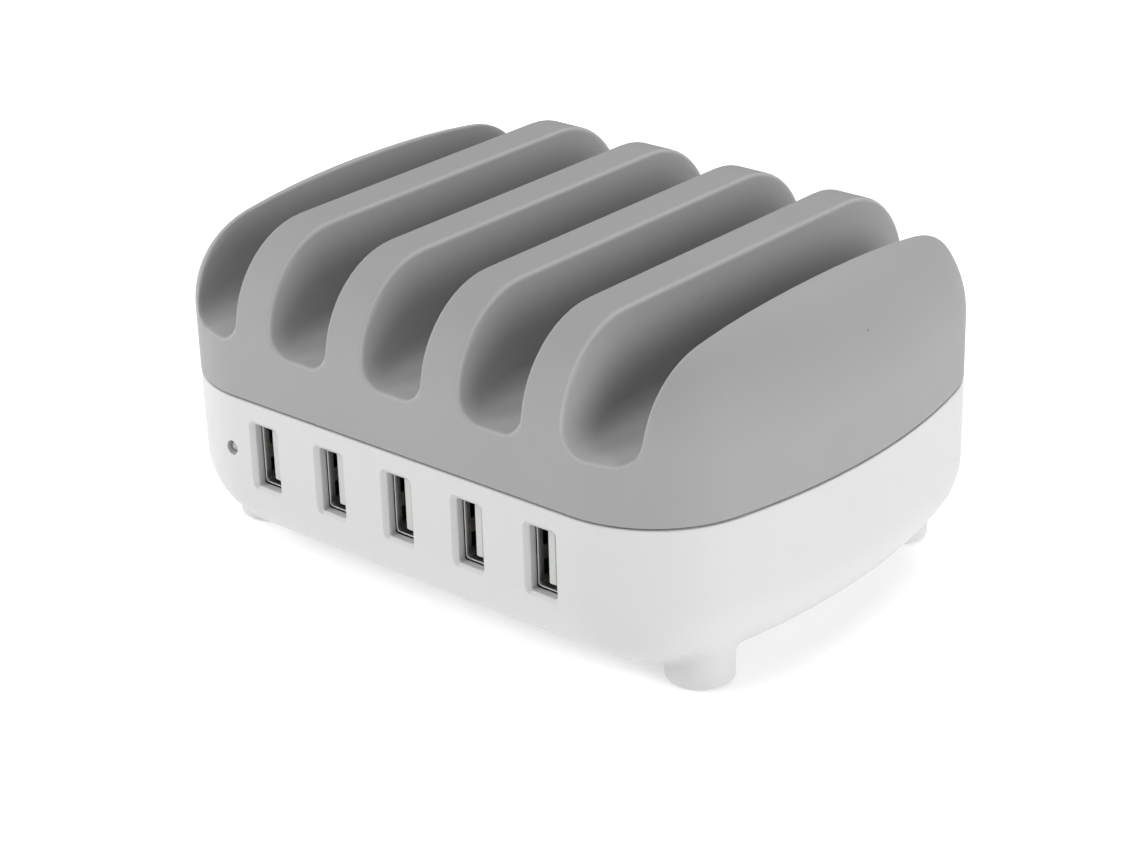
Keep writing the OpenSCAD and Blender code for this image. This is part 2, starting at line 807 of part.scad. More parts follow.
module inlet_outline(grow) {
  translate([0, inlet_z])
    for (x = [-1, 1])
      for (z = [-1, 1]) {
        translate([x * (inlet_w / 2 - inlet_corner), z * (inlet_h / 2 - inlet_corner)])
          circle(r = inlet_corner + grow);
        square([inlet_w + 2 * grow, inlet_h - 2 * inlet_corner], center = true);
        square([inlet_w - 2 * inlet_corner, inlet_h + 2 * grow], center = true);
      }
}

module inlet_body() {
  color(black)
    difference() {
      along_y(inlet_face_y - inlet_len, inlet_face_y)
        inlet_outline(0);
      along_y(recess_floor_y, half_d + over)
        translate([0, inlet_z]) {
          for (s = [-1, 1])
            translate([s * lobe_x, 0])
              circle(r = lobe_r);
          square([2 * lobe_x, waist_h], center = true);
        }
      for (s = [-1, 1])
        translate([s * pin_pitch / 2, half_d, inlet_z])
          rotate([90, 0, 0])
            cylinder(r = pin_r + pin_clear, h = inlet_len + inlet_setback + over);
    }
}

module inlet_pins() {
  pin_back_y = inlet_face_y - inlet_len - pin_tail;
  color(metal)
    for (s = [-1, 1])
      translate([s * pin_pitch / 2, recess_floor_y + pin_len - pin_r, inlet_z]) {
        rotate([90, 0, 0])
          cylinder(r = pin_r, h = recess_floor_y + pin_len - pin_r - pin_back_y);
        sphere(r = pin_r);
      }
}

// One half of the core: a yoke with two outer legs and a centre leg, standing on z = 0
module core_half() {
  half_h = core_h / 2;
  along_y(-core_t / 2, core_t / 2)
    difference() {
      translate([-core_w / 2, 0])
        square([core_w, half_h]);
      for (s = [-1, 1])
        translate([s * (window_x + core_mid) / 2, core_leg + half_h / 2])
          square([window_x - core_mid, half_h], center = true);
    }
}

module transformer_core_lower() {
  color(ferrite)
    translate([transformer_at[0], transformer_at[1], core_z])
      core_half();
}

module transformer_core_upper() {
  color(ferrite)
    translate([transformer_at[0], transformer_at[1], core_z + core_h])
      mirror([0, 0, 1])
        core_half();
}

module transformer_bobbin() {
  hole_x = core_mid + bobbin_clear;
  hole_y = core_t / 2 + bobbin_clear;
  flange_x = window_x - bobbin_clear;
  color(black)
    translate([transformer_at[0], transformer_at[1], 0]) {
      difference() {
        union() {
          box([-flange_x, -bobbin_d / 2, bobbin_low_z], [flange_x, bobbin_d / 2, bobbin_low_z + bobbin_t]);
          box([-flange_x, -bobbin_d / 2, bobbin_top_z - bobbin_t], [flange_x, bobbin_d / 2, bobbin_top_z]);
          box(
            [-hole_x - bobbin_t, -hole_y - bobbin_t, bobbin_low_z],
            [hole_x + bobbin_t, hole_y + bobbin_t, bobbin_top_z]
          );
          for (s = [-1, 1])
            translate([0, s * (bobbin_d / 2 + hole_y) / 2, 0])
              box(
                [-flange_x, -(bobbin_d / 2 - hole_y) / 2, board_top_z],
                [flange_x, (bobbin_d / 2 - hole_y) / 2, bobbin_low_z + bobbin_t / 2]
              );
          box([-flange_x, -bobbin_d / 2, board_top_z], [flange_x, bobbin_d / 2, core_z]);
        }
        box([-hole_x, -hole_y, core_z], [hole_x, hole_y, bobbin_top_z + over]);
      }
    }
}

module transformer_winding() {
  tube_x = core_mid + 2 * bobbin_clear + bobbin_t;
  tube_y = core_t / 2 + 2 * bobbin_clear + bobbin_t;
  low_z = bobbin_low_z + bobbin_t;
  high_z = bobbin_top_z - bobbin_t - bobbin_clear;
  wire_x = window_x - 2 * bobbin_clear;
  wire_y = bobbin_d / 2 - bobbin_t;
  color([0.9, 0.8, 0.25])
    translate([transformer_at[0], transformer_at[1], 0])
      difference() {
        box([-wire_x, -wire_y, low_z], [wire_x, wire_y, high_z]);
        box([-tube_x, -tube_y, low_z - over], [tube_x, tube_y, high_z + over]);
      }
}

// Round can with a rolled groove near its foot
module can(r, h) {
  rotate_extrude()
    difference() {
      square([r, h]);
      translate([r, groove_z])
        circle(r = groove_r);
    }
}

module bulk_capacitor(i) {
  color([0.16, 0.2, 0.3])
    on_board([bulk_at[0], bulk_at[1] + (i - 1) * bulk_pitch])
      can(bulk_r, bulk_h);
}

module output_capacitor(i) {
  color([0.15, 0.32, 0.3])
    on_board([(i - 1) * output_pitch - output_left, output_y])
      can(output_r, output_h);
}

module centred_block(size) {
  translate([0, 0, size[2] / 2])
    cube(size, center = true);
}

module interference_capacitor() {
  color([0.9, 0.75, 0.2])
    on_board_rear(x_cap_at)
      centred_block(x_cap);
}

module choke_core() {
  color(ferrite)
    on_board_rear(choke_at)
      translate([0, 0, choke_wire])
        rotate_extrude()
          translate([choke_hole_r, 0])
            square([choke_r - choke_hole_r, choke_h]);
}

module choke_wire_half(turn) {
  color(copper)
    on_board_rear(choke_at)
      rotate([0, 0, turn - choke_angle / 2])
        rotate_extrude(angle = choke_angle)
          difference() {
            translate([choke_hole_r - choke_wire, 0])
              square([choke_r - choke_hole_r + 2 * choke_wire, choke_h + 2 * choke_wire]);
            translate([choke_hole_r - choke_clear, choke_wire - choke_clear])
              square([choke_r - choke_hole_r + 2 * choke_clear, choke_h + 2 * choke_clear]);
          }
}

module fuse() {
  color([0.85, 0.85, 0.8])
    on_board_rear(fuse_at)
      translate([0, fuse_size[1] / 2, fuse_size[0]])
        rotate([90, 0, 0])
          cylinder(r = fuse_size[0], h = fuse_size[1]);
}

// Round pill that stands on its edge, facing front and rear
module standing_disc(size) {
  translate([0, size[1] / 2, size[0]])
    rotate([90, 0, 0])
      cylinder(r = size[0], h = size[1]);
}

module thermistor() {
  color([0.2, 0.22, 0.2])
    on_board_rear(thermistor_at)
      standing_disc(thermistor_size);
}

module safety_capacitor() {
  color([0.2, 0.4, 0.7])
    on_board([y_cap_right, control_y])
      standing_disc(y_cap_size);
}

module bridge_rectifier() {
  color(black)
    on_board_rear(bridge_at)
      centred_block(bridge);
}

module optocoupler() {
  color(white)
    on_board([-opto_left, control_y])
      centred_block(opto);
}

// Upright plate with ribs on its rear, standing on the board
module heat_sink() {
  rib_step = (sink_len - sink_t) / (sink_ribs - 1);
  linear_extrude(height = sink_h) {
    translate([-sink_len / 2, 0])
      square([sink_len, sink_t]);
    for (i = [0:sink_ribs - 1])
      translate([-sink_len / 2 + i * rib_step, 0])
        square([sink_t, sink_t + sink_rib]);
  }
}

module primary_heat_sink() {
  color(metal)
    on_board(sink_at)
      heat_sink();
}

module output_heat_sink() {
  color(metal)
    on_board([sink_at[0], sink_out_y])
      heat_sink();
}

// Power device lying flat against the front of its heat sink, on three legs
module power_device() {
  translate([0, -device[1], 0]) {
    translate([-device[0] / 2, 0, device_lift])
      cube(device);
    for (k = [-1:1])
      translate([k * device_leg_pitch - device_leg[0] / 2, device[1] / 2, 0])
        cube([device_leg[0], device_leg[1], device_lift + over]);
  }
}

module switch_transistor() {
  color(black)
    on_board(sink_at)
      power_device();
}

module output_rectifier() {
  color(black)
    on_board([sink_at[0], sink_out_y])
      power_device();
}

module controller_chips() {
  color(black)
    for (x = port_xs)
      on_board([x, chip_y])
        centred_block(chip);
}

top_cover();
base_shell();
foot_pads();
housing_screws();
status_lamp();
lamp_leads();
main_board();
insulating_sheet();
board_screws();
usb_shell(1);  // usb_shell_1
usb_shell(2);  // usb_shell_2
usb_shell(3);  // usb_shell_3
usb_shell(4);  // usb_shell_4
usb_shell(5);  // usb_shell_5
usb_tongue(1);  // usb_tongue_1
usb_tongue(2);  // usb_tongue_2
usb_tongue(3);  // usb_tongue_3
usb_tongue(4);  // usb_tongue_4
usb_tongue(5);  // usb_tongue_5
usb_contacts(1);  // usb_contacts_1
usb_contacts(2);  // usb_contacts_2
usb_contacts(3);  // usb_contacts_3
usb_contacts(4);  // usb_contacts_4
usb_contacts(5);  // usb_contacts_5
inlet_body();
inlet_pins();
transformer_core_upper();
transformer_core_lower();
transformer_bobbin();
transformer_winding();
bulk_capacitor(1);  // bulk_capacitor_1
bulk_capacitor(2);  // bulk_capacitor_2
output_capacitor(1);  // output_capacitor_1
output_capacitor(2);  // output_capacitor_2
output_capacitor(3);  // output_capacitor_3
interference_capacitor();
choke_core();
choke_wire_half(180);  // choke_wire_left
choke_wire_half(0);  // choke_wire_right
fuse();
thermistor();
safety_capacitor();
bridge_rectifier();
optocoupler();
primary_heat_sink();
switch_transistor();
output_heat_sink();
output_rectifier();
controller_chips();
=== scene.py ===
"""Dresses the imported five-port charging station: housing, sockets, lamp, inlet, feet and the parts inside."""

import math

import bmesh
import bpy
import numpy as np
from mathutils import Matrix, Vector


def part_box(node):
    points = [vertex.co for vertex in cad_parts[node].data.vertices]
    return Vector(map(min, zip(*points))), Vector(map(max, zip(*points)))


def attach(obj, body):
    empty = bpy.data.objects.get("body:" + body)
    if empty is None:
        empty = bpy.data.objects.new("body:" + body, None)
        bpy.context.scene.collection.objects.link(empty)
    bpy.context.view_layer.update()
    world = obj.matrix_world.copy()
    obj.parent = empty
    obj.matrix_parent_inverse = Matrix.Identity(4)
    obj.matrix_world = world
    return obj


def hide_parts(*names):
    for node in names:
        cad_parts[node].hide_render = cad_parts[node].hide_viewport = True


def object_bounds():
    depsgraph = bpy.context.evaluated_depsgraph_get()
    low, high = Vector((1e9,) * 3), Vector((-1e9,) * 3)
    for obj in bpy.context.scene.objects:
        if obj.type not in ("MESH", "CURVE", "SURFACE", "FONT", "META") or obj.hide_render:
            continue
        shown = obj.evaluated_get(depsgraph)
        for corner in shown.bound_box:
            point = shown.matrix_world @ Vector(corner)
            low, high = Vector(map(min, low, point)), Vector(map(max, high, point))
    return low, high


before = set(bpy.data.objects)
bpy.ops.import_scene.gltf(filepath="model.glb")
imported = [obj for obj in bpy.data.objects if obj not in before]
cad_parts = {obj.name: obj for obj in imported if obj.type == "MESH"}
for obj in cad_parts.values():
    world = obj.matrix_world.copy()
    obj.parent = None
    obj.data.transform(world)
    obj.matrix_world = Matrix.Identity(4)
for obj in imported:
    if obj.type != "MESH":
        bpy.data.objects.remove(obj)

bl_info = {
    "name": "Charging Station",
    "version": (1, 0, 0),
    "blender": (4, 5, 0),
    "location": "View3D > Sidebar > Station",
    "description": "Builds the finished look of a five-port desk charging station around its packed frame",
    "category": "Add Mesh",
}

MM = 0.001
CAD_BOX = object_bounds()
IMAGE_WIDTH = 1140
SENSOR_WIDTH = 36.0
# How far a cutter runs past the face that it cuts, in millimetres
OVER = 1.0


# Properties


def length(name, description, millimetres):
    return bpy.props.FloatProperty(
        name=name,
        description=description,
        default=millimetres * MM,
        min=0.0,
        unit="LENGTH",
        subtype="DISTANCE",
        precision=5,
    )


def colour(name, description, value):
    return bpy.props.FloatVectorProperty(
        name=name,
        description=description,
        default=value,
        min=0.0,
        max=1.0,
        size=3,
        subtype="COLOR",
    )


class StationHousing(bpy.types.PropertyGroup):
    """Sizes of the cover and the base."""

    width: length("Width", "Width across the bowed sides", (CAD_BOX[1][0] - CAD_BOX[0][0]) / MM)
    depth: length("Depth", "Depth from the front to the rear", (CAD_BOX[1][1] - CAD_BOX[0][1]) / MM)
    height: length("Height", "Height from the table to the fin tops", (CAD_BOX[1][2] - CAD_BOX[0][2]) / MM)
    corner_radius: length("Corner radius", "Plan radius of the four corners", 25.6)
    side_bow: length("Side bow", "How far each side bows out past its ends", 11.0)
    wall: length("Wall", "Wall thickness of the cover and the base", 2.2)
    seam_height: length("Seam height", "Height of the seam between base and cover", 38.5)
    seam_gap: length("Seam gap", "Open shadow gap at the seam", 0.45)
    lip: length("Lip", "Thickness of the base's locating lip", 0.9)
    lip_rise: length("Lip rise", "Height of the locating lip above the seam", 2.0)
    lip_clearance: length("Lip clearance", "Clearance round the locating lip", 0.2)
    rim_edge: length("Rim edge", "Rounding of both rims at the seam", 0.3)
    front_round: length("Front round-over", "Round-over radius of the cover along the front", 20.0)
    side_round: length("Side round-over", "Round-over radius of the cover along the sides", 22.5)
    rear_round: length("Rear round-over", "Round-over radius of the cover along the rear", 20.0)
    slot_count: bpy.props.IntProperty(name="Slots", description="Number of device slots", default=5, min=1)
    slot_pitch: length("Slot pitch", "Distance between the slot centres", 26.0)
    slot_width: length("Slot width", "Width of a slot at its mouth", 16.6)
    slot_depth: length("Slot depth", "Depth of a slot below the fin tops", 23.0)
    slot_draft: bpy.props.FloatProperty(
        name="Slot draft",
        description="Draft of each slot wall",
        default=math.radians(1.5),
        unit="ROTATION",
        subtype="ANGLE",
    )
    slot_fillet: length("Slot fillet", "Fillet between a slot's floor and its walls", 5.0)
    fin_edge: length("Fin edge", "Rounding where a slot meets the cover's outside", 1.0)
    inner_edge: length("Inner edge", "Rounding of the same edges inside the cover", 0.6)
    base_round: length("Base round-over", "Radius of the rounded lower edge of the base", 18.0)
    base_height: length("Base height", "Height of the base's underside above the table", 3.0)


class StationFittings(bpy.types.PropertyGroup):
    """Sizes of the feet, the sockets, the lamp and the inlet."""

    foot_radius: length("Foot radius", "Radius of a moulded foot", 7.0)
    foot_edge: length("Foot edge", "Rounding of a foot's lower edge", 0.7)
    foot_fillet: length("Foot fillet", "Fillet between a foot and the base", 1.4)
    pad_radius: length("Pad radius", "Radius of a rubber foot pad", 5.4)
    pad_height: length("Pad height", "Thickness of a rubber foot pad", 1.4)
    pad_proud: length("Pad proud", "How far a pad stands below its foot", 0.4)
    boss_radius: length("Boss radius", "Radius of a screw boss", 4.9)
    boss_top: length("Boss top", "Height where the posts meet the bosses", 35.0)
    post_radius: length("Post radius", "Radius of a screw post in the cover", 3.8)
    port_count: bpy.props.IntProperty(name="Sockets", description="Number of sockets", default=5, min=1)
    port_pitch: length("Socket pitch", "Distance between the socket centres", 19.0)
    port_height: length("Socket height", "Height of the socket centres", 26.2)
    window_width: length("Window width", "Width of a socket window at the front", 8.2)
    window_height: length("Window height", "Height of a socket window at the front", 15.8)
    window_chamfer: length("Window chamfer", "Chamfer round a socket window", 0.8)
    window_corner: length("Window corner", "Corner radius of a socket window", 1.3)
    window_collar: length("Window collar", "How far the collar round a window stands in from the wall", 0.4)
    lamp_hole: length("Lamp hole", "Radius of the lamp's hole", 1.6)


class StationFinish(bpy.types.PropertyGroup):
    """Colours of the visible finishes."""

    cover: colour("Cover", "Matte moulding of the cover", (0.35, 0.35, 0.35))
    base: colour("Base", "Satin moulding of the base", (0.66, 0.66, 0.66))
    tongue: colour("Tongue", "Insulating tongue of a socket", (0.6, 0.6, 0.59))
    lamp: colour("Lamp", "Frosted lens of the status lamp", (0.42, 0.43, 0.44))
    rubber: colour("Rubber", "Foot pads", (0.028, 0.028, 0.03))
    floor: colour("Floor", "Studio floor", (0.93, 0.93, 0.93))


# Shapes of the housing, in millimetres


class Housing:
    """Plan outline, cover, slots and tub as distances from their surfaces, negative inside."""

    def __init__(self, sizes, fittings):
        for group in (sizes, fittings):
            for name in group.__annotations__:
                value = getattr(group, name)
                scaled = isinstance(value, float) and name != "slot_draft"
                setattr(self, name, value / MM if scaled else value)
        self.half_w = self.width / 2
        self.half_d = self.depth / 2
        self.side_r = (self.half_d**2 + self.side_bow**2) / (2 * self.side_bow)
        self.side_x = self.half_w - self.side_r
        self.corner_y = self.half_d - self.corner_radius
        self.corner_x = self.side_x + math.sqrt((self.side_r - self.corner_radius) ** 2 - self.corner_y**2)
        self.side_a = math.atan2(self.corner_y, self.corner_x - self.side_x)
        self.slot_floor = self.height - self.slot_depth
        foot = self.slot_width / 2 - self.slot_depth * math.tan(self.slot_draft)
        self.fillet_x = foot + self.slot_fillet * (math.tan(self.slot_draft) - 1 / math.cos(self.slot_draft))
        low, high = np.array(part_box("foot_pads")) / MM
        self.feet = [
            (high[0] - self.pad_radius, low[1] + self.pad_radius),
            (high[0] - self.pad_radius - FOOT_STEP, high[1] - self.pad_radius),
        ]
        self.foot_bottom = self.pad_proud

    def outline(self, x, y):
        """Distance from the plan outline and the direction of its nearest normal."""
        ax, ay = np.abs(x), np.abs(y)
        side = np.arctan2(ay, ax - self.side_x)
        corner = np.arctan2(ay - self.corner_y, ax - self.corner_x)
        on_side, on_front = side < self.side_a, ax < self.corner_x
        near_corner = np.hypot(ax - self.corner_x, ay - self.corner_y) - self.corner_radius
        distance = np.where(on_front, ay - self.half_d, near_corner)
        distance = np.where(on_side, np.hypot(ay, ax - self.side_x) - self.side_r, distance)
        direction = np.where(on_side, side, np.where(on_front, math.pi / 2, corner))
        return distance, direction

    def half_depth(self, x, inset):
        reach = self.corner_radius - inset
        arc = np.sqrt(np.maximum(reach**2 - np.maximum(np.abs(x) - self.corner_x, 0) ** 2, 0))
        return self.corner_y + arc

    def half_width(self, y, inset):
        ay = np.abs(y)
        reach, side = self.corner_radius - inset, self.side_r - inset
        corner = self.corner_x + np.sqrt(np.maximum(reach**2 - np.maximum(ay - self.corner_y, 0) ** 2, 0))
        bowed = self.side_x + np.sqrt(side**2 - ay**2)
        return np.where(ay < side * math.sin(self.side_a), bowed, corner)

    def ring(self, inset, z, steps=14):
        """The outline moved inwards, as points at one height, anticlockwise from the front's right end."""
        corner = np.linspace(math.pi / 2, self.side_a, steps + 1)
        side = np.linspace(self.side_a, -self.side_a, steps + 1)[1:-1]
        right = [(self.corner_x, -self.corner_y, self.corner_radius, -a) for a in corner]
        right += [(self.side_x, 0.0, self.side_r, -a) for a in side]
        right += [(self.corner_x, self.corner_y, self.corner_radius, a) for a in corner[::-1]]
        points = [(x + (r - inset) * math.cos(a), y + (r - inset) * math.sin(a)) for x, y, r, a in right]
        points += [(-x, y) for x, y in reversed(points)]
        return [(x, y, z) for x, y in points]

    def round_over(self, direction, y):
        ends = np.where(y < 0, self.front_round, self.rear_round)
        return self.side_round + (ends - self.side_round) * np.sin(direction) ** 2

    def loaf_height(self, x, y, wall):
        distance, direction = self.outline(x, y)
        radius = self.round_over(direction, y) - wall
        past = np.clip(distance + wall + radius, 0, radius)
        return self.height - wall - radius + np.sqrt(radius**2 - past**2)

    def loaf(self, x, y, z):
        distance, direction = self.outline(x, y)
        radius = self.round_over(direction, y)
        return rounded(distance, z - self.height, radius)

    def slot(self, x, z):
        last = (self.slot_count - 1) / 2
        centre = (np.clip(np.round(x / self.slot_pitch + last), 0, 2 * last) - last) * self.slot_pitch
        mouth = self.slot_width / 2 - (self.height - z) * math.tan(self.slot_draft)
        beside = (np.abs(x - centre) - mouth) * math.cos(self.slot_draft)
        return rounded(beside, self.slot_floor - z, self.slot_fillet)

    def cover(self, wall, edge):
        """Skin of the cover: the loaf less the slots, with their common edge rounded."""

        def field(p):
            outside = self.loaf(p[:, 0], p[:, 1], p[:, 2]) + wall
            return rounded(outside, wall - self.slot(p[:, 0], p[:, 2]), edge)

        return field

    def tub(self, p):
        distance, _ = self.outline(p[:, 0], p[:, 1])
        return rounded(distance, self.base_height - p[:, 2], self.base_round)

    def base(self, p):
        """Skin of the base: the tub and its feet, with a fillet between them."""
        field = self.tub(p)
        for side in (-1, 1):
            for x, y in self.feet:
                across = np.hypot(p[:, 0] - side * x, p[:, 1] - y) - self.foot_radius
                foot = rounded(across, self.foot_bottom - p[:, 2], self.foot_edge)
                field = joined(field, foot, self.foot_fillet)
        return field

    def slot_profile(self, s, wall):
        """Half section of a slot at an arc length from the middle of its floor."""
        bend_radius = self.slot_fillet + wall
        full = math.pi / 2 - self.slot_draft
        turn = np.clip((s - self.fillet_x) / bend_radius, 0, full)
        rise = np.maximum(s - self.fillet_x - bend_radius * full, 0)
        x = np.minimum(s, self.fillet_x) + bend_radius * np.sin(turn) + rise * math.sin(self.slot_draft)
        z = self.slot_floor - wall + bend_radius * (1 - np.cos(turn)) + rise * math.cos(self.slot_draft)
        return x, z

    def slot_reach(self, centre, side, rows, wall):
        """Arc length at which each row's slot wall meets the loaf."""
        low = np.full(len(rows), self.fillet_x)
        high = low + 3 * self.slot_depth
        for _ in range(45):
            middle = (low + high) / 2
            x, z = self.slot_profile(middle, wall)
            x = centre + side * x
            below = z < self.loaf_height(x, rows * self.half_depth(x, wall), wall)
            low, high = np.where(below, middle, low), np.where(below, high, middle)
        return low


# The rear feet stand further in than the front feet, in millimetres
FOOT_STEP = 5.0


def rounded(a, b, radius):
    """Intersection of two distances with its edge rounded."""
    far = np.hypot(np.maximum(a + radius, 0), np.maximum(b + radius, 0))
    return np.minimum(np.maximum(a, b), -radius) + far


def joined(a, b, radius):
    """Union of two distances with a fillet in its corner."""
    near = np.hypot(np.maximum(radius - a, 0), np.maximum(radius - b, 0))
    return np.maximum(np.minimum(a, b), radius) - near


def slope(field, points, step=0.002):
    """Gradient of a distance by central differences."""
    columns = []
    for axis in range(3):
        shift = np.zeros(3)
        shift[axis] = step
        columns.append((field(points + shift) - field(points - shift)) / (2 * step))
    return np.stack(columns, axis=1)


def settle(field, points, steps=10):
    """Moves points onto the surface where a distance is zero."""
    points = points.copy()
    for _ in range(steps):
        grade = slope(field, points)
        points -= (field(points) / np.maximum((grade**2).sum(1), 0.05))[:, None] * grade
    return points


# Mesh helpers


def make_mesh(name, points_mm, faces, material=None):
    mesh = bpy.data.meshes.new(name)
    mesh.from_pydata([tuple(p) for p in np.asarray(points_mm) * MM], [], [tuple(map(int, f)) for f in faces])
    if material:
        mesh.materials.append(material)
    thing = bpy.data.objects.new(name, mesh)
    bpy.context.collection.objects.link(thing)
    return thing


def outward(thing):
    """Turns every face outwards."""
    work = bmesh.new()
    work.from_mesh(thing.data)
    bmesh.ops.recalc_face_normals(work, faces=work.faces)
    work.to_mesh(thing.data)
    work.free()
    return thing


def baked(thing):
    """Turns an object with modifiers into a plain mesh object."""
    depsgraph = bpy.context.evaluated_depsgraph_get()
    mesh = bpy.data.meshes.new_from_object(thing.evaluated_get(depsgraph), depsgraph=depsgraph)
    thing.modifiers.clear()
    old = thing.data
    thing.data = mesh
    bpy.data.meshes.remove(old)
    thing.data.name = thing.name
    return thing


def combine(thing, other, operation):
    """Adds another solid to a shape or cuts it away, and uses the other one up."""
    modifier = thing.modifiers.new(operation.title(), "BOOLEAN")
    modifier.operation = operation
    modifier.solver = "EXACT"
    modifier.object = other
    baked(thing)
    bpy.data.objects.remove(other)
    return thing


def soften(thing, width_mm, segments=2, angle=30.0):
    """Rounds the sharp edges a little and smooths across them."""
    bevel = thing.modifiers.new("Edges", "BEVEL")
    bevel.width = width_mm * MM
    bevel.segments = segments
    bevel.limit_method = "ANGLE"
    bevel.angle_limit = math.radians(angle)
    weighted = thing.modifiers.new("Flat faces", "WEIGHTED_NORMAL")
    weighted.keep_sharp = True
    for polygon in thing.data.polygons:
        polygon.use_smooth = True
    return baked(thing)


def lathe(name, profile, material=None, segments=48):
    """Closed solid turned round Z from (radius, height) points that start and end on the axis."""
    points, rows = [], []
    for radius, height in profile:
        if radius == 0:
            rows.append([len(points)])
            points.append((0, 0, height))
        else:
            rows.append(list(range(len(points), len(points) + segments)))
            turn = np.linspace(0, 2 * math.pi, segments, endpoint=False)
            points += [(radius * math.cos(a), radius * math.sin(a), height) for a in turn]
    faces = []
    for low, high in zip(rows, rows[1:]):
        for i in range(segments):
            j = (i + 1) % segments
            quad = [low[i % len(low)], low[j % len(low)], high[j % len(high)], high[i % len(high)]]
            faces.append(list(dict.fromkeys(quad)))
    return outward(make_mesh(name, points, faces, material))


def skin(rings):
    """Faces and points of a solid through rings with the same number of points, capped at both ends."""
    count = len(rings[0])
    points = [p for ring in rings for p in ring]
    faces = [list(range(count))[::-1], [(len(rings) - 1) * count + i for i in range(count)]]
    for k in range(len(rings) - 1):
        for i in range(count):
            j = (i + 1) % count
            faces.append([k * count + i, k * count + j, (k + 1) * count + j, (k + 1) * count + i])
    return points, faces


def settle_shading(thing, field, tolerance=0.02):
    """Gives faces that lie on a curved skin the exact normals of that skin, and leaves the others flat."""
    mesh = thing.data
    count = len(mesh.loops)
    corner_vertex = np.empty(count, int)
    mesh.loops.foreach_get("vertex_index", corner_vertex)
    places = np.empty(len(mesh.vertices) * 3)
    mesh.vertices.foreach_get("co", places)
    places = places.reshape(-1, 3) / MM
    grade = slope(field, places)
    grade /= np.maximum(np.linalg.norm(grade, axis=1), 1e-9)[:, None]
    on_skin = np.abs(field(places)) < tolerance
    normals = np.zeros((count, 3))
    smooth = np.zeros(len(mesh.polygons), bool)
    for polygon in mesh.polygons:
        corners = list(polygon.loop_indices)
        vertices = corner_vertex[corners]
        facing = grade[vertices] @ np.array(polygon.normal)
        if on_skin[vertices].all() and facing.min() > 0.8:
            smooth[polygon.index] = True
            normals[corners] = grade[vertices]
        else:
            normals[corners] = polygon.normal
    mesh.polygons.foreach_set("use_smooth", smooth)
    mesh.normals_split_custom_set([tuple(n) for n in normals])


# Nodes


def plug(tree, socket, value):
    """Links another node's output to a socket, or sets the socket to a plain value."""
    if isinstance(value, bpy.types.NodeSocket):
        tree.links.new(value, socket)
    else:
        socket.default_value = value


def maths(tree, operation, *values):
    node = tree.nodes.new("ShaderNodeMath")
    node.operation = operation
    for socket, value in zip(node.inputs, values):
        plug(tree, socket, value)
    return node.outputs[0]


def plan_point(tree, x, y=0.0):
    node = tree.nodes.new("ShaderNodeCombineXYZ")
    plug(tree, node.inputs["X"], x)
    plug(tree, node.inputs["Y"], y)
    return node.outputs[0]


def new_tree(name, inputs):
    """Empty node tree with a geometry input, named inputs, a material and a geometry output."""
    tree = bpy.data.node_groups.new(name, "GeometryNodeTree")
    tree.interface.new_socket("Geometry", in_out="INPUT", socket_type="NodeSocketGeometry")
    for label, kind in inputs:
        tree.interface.new_socket(label, in_out="INPUT", socket_type=kind)
    tree.interface.new_socket("Material", in_out="INPUT", socket_type="NodeSocketMaterial")
    tree.interface.new_socket("Geometry", in_out="OUTPUT", socket_type="NodeSocketGeometry")
    return tree, tree.nodes.new("NodeGroupInput"), tree.nodes.new("NodeGroupOutput")


def copies_on(tree, start, end, points):
    """Ends a tree: the incoming shape on each point, realised and given its material."""
    place = tree.nodes.new("GeometryNodeInstanceOnPoints")
    realize = tree.nodes.new("GeometryNodeRealizeInstances")
    paint = tree.nodes.new("GeometryNodeSetMaterial")
    tree.links.new(points, place.inputs["Points"])
    tree.links.new(start.outputs["Geometry"], place.inputs["Instance"])
    tree.links.new(place.outputs["Instances"], realize.inputs["Geometry"])
    tree.links.new(realize.outputs["Geometry"], paint.inputs["Geometry"])
    tree.links.new(start.outputs["Material"], paint.inputs["Material"])
    tree.links.new(paint.outputs["Geometry"], end.inputs["Geometry"])


def row_tree():
    """A row of copies along X, centred on the first shape."""
    name = "Row of copies"
    if name in bpy.data.node_groups:
        return bpy.data.node_groups[name]
    tree, start, end = new_tree(name, [("Count", "NodeSocketInt"), ("Pitch", "NodeSocketFloat")])
    count, pitch = start.outputs["Count"], start.outputs["Pitch"]
    reach = maths(tree, "MULTIPLY", maths(tree, "SUBTRACT", count, 1.0), pitch)
    line = tree.nodes.new("GeometryNodeMeshLine")
    plug(tree, line.inputs["Count"], count)
    plug(tree, line.inputs["Start Location"], plan_point(tree, maths(tree, "MULTIPLY", reach, -0.5)))
    plug(tree, line.inputs["Offset"], plan_point(tree, pitch))
    copies_on(tree, start, end, line.outputs["Mesh"])
    return tree


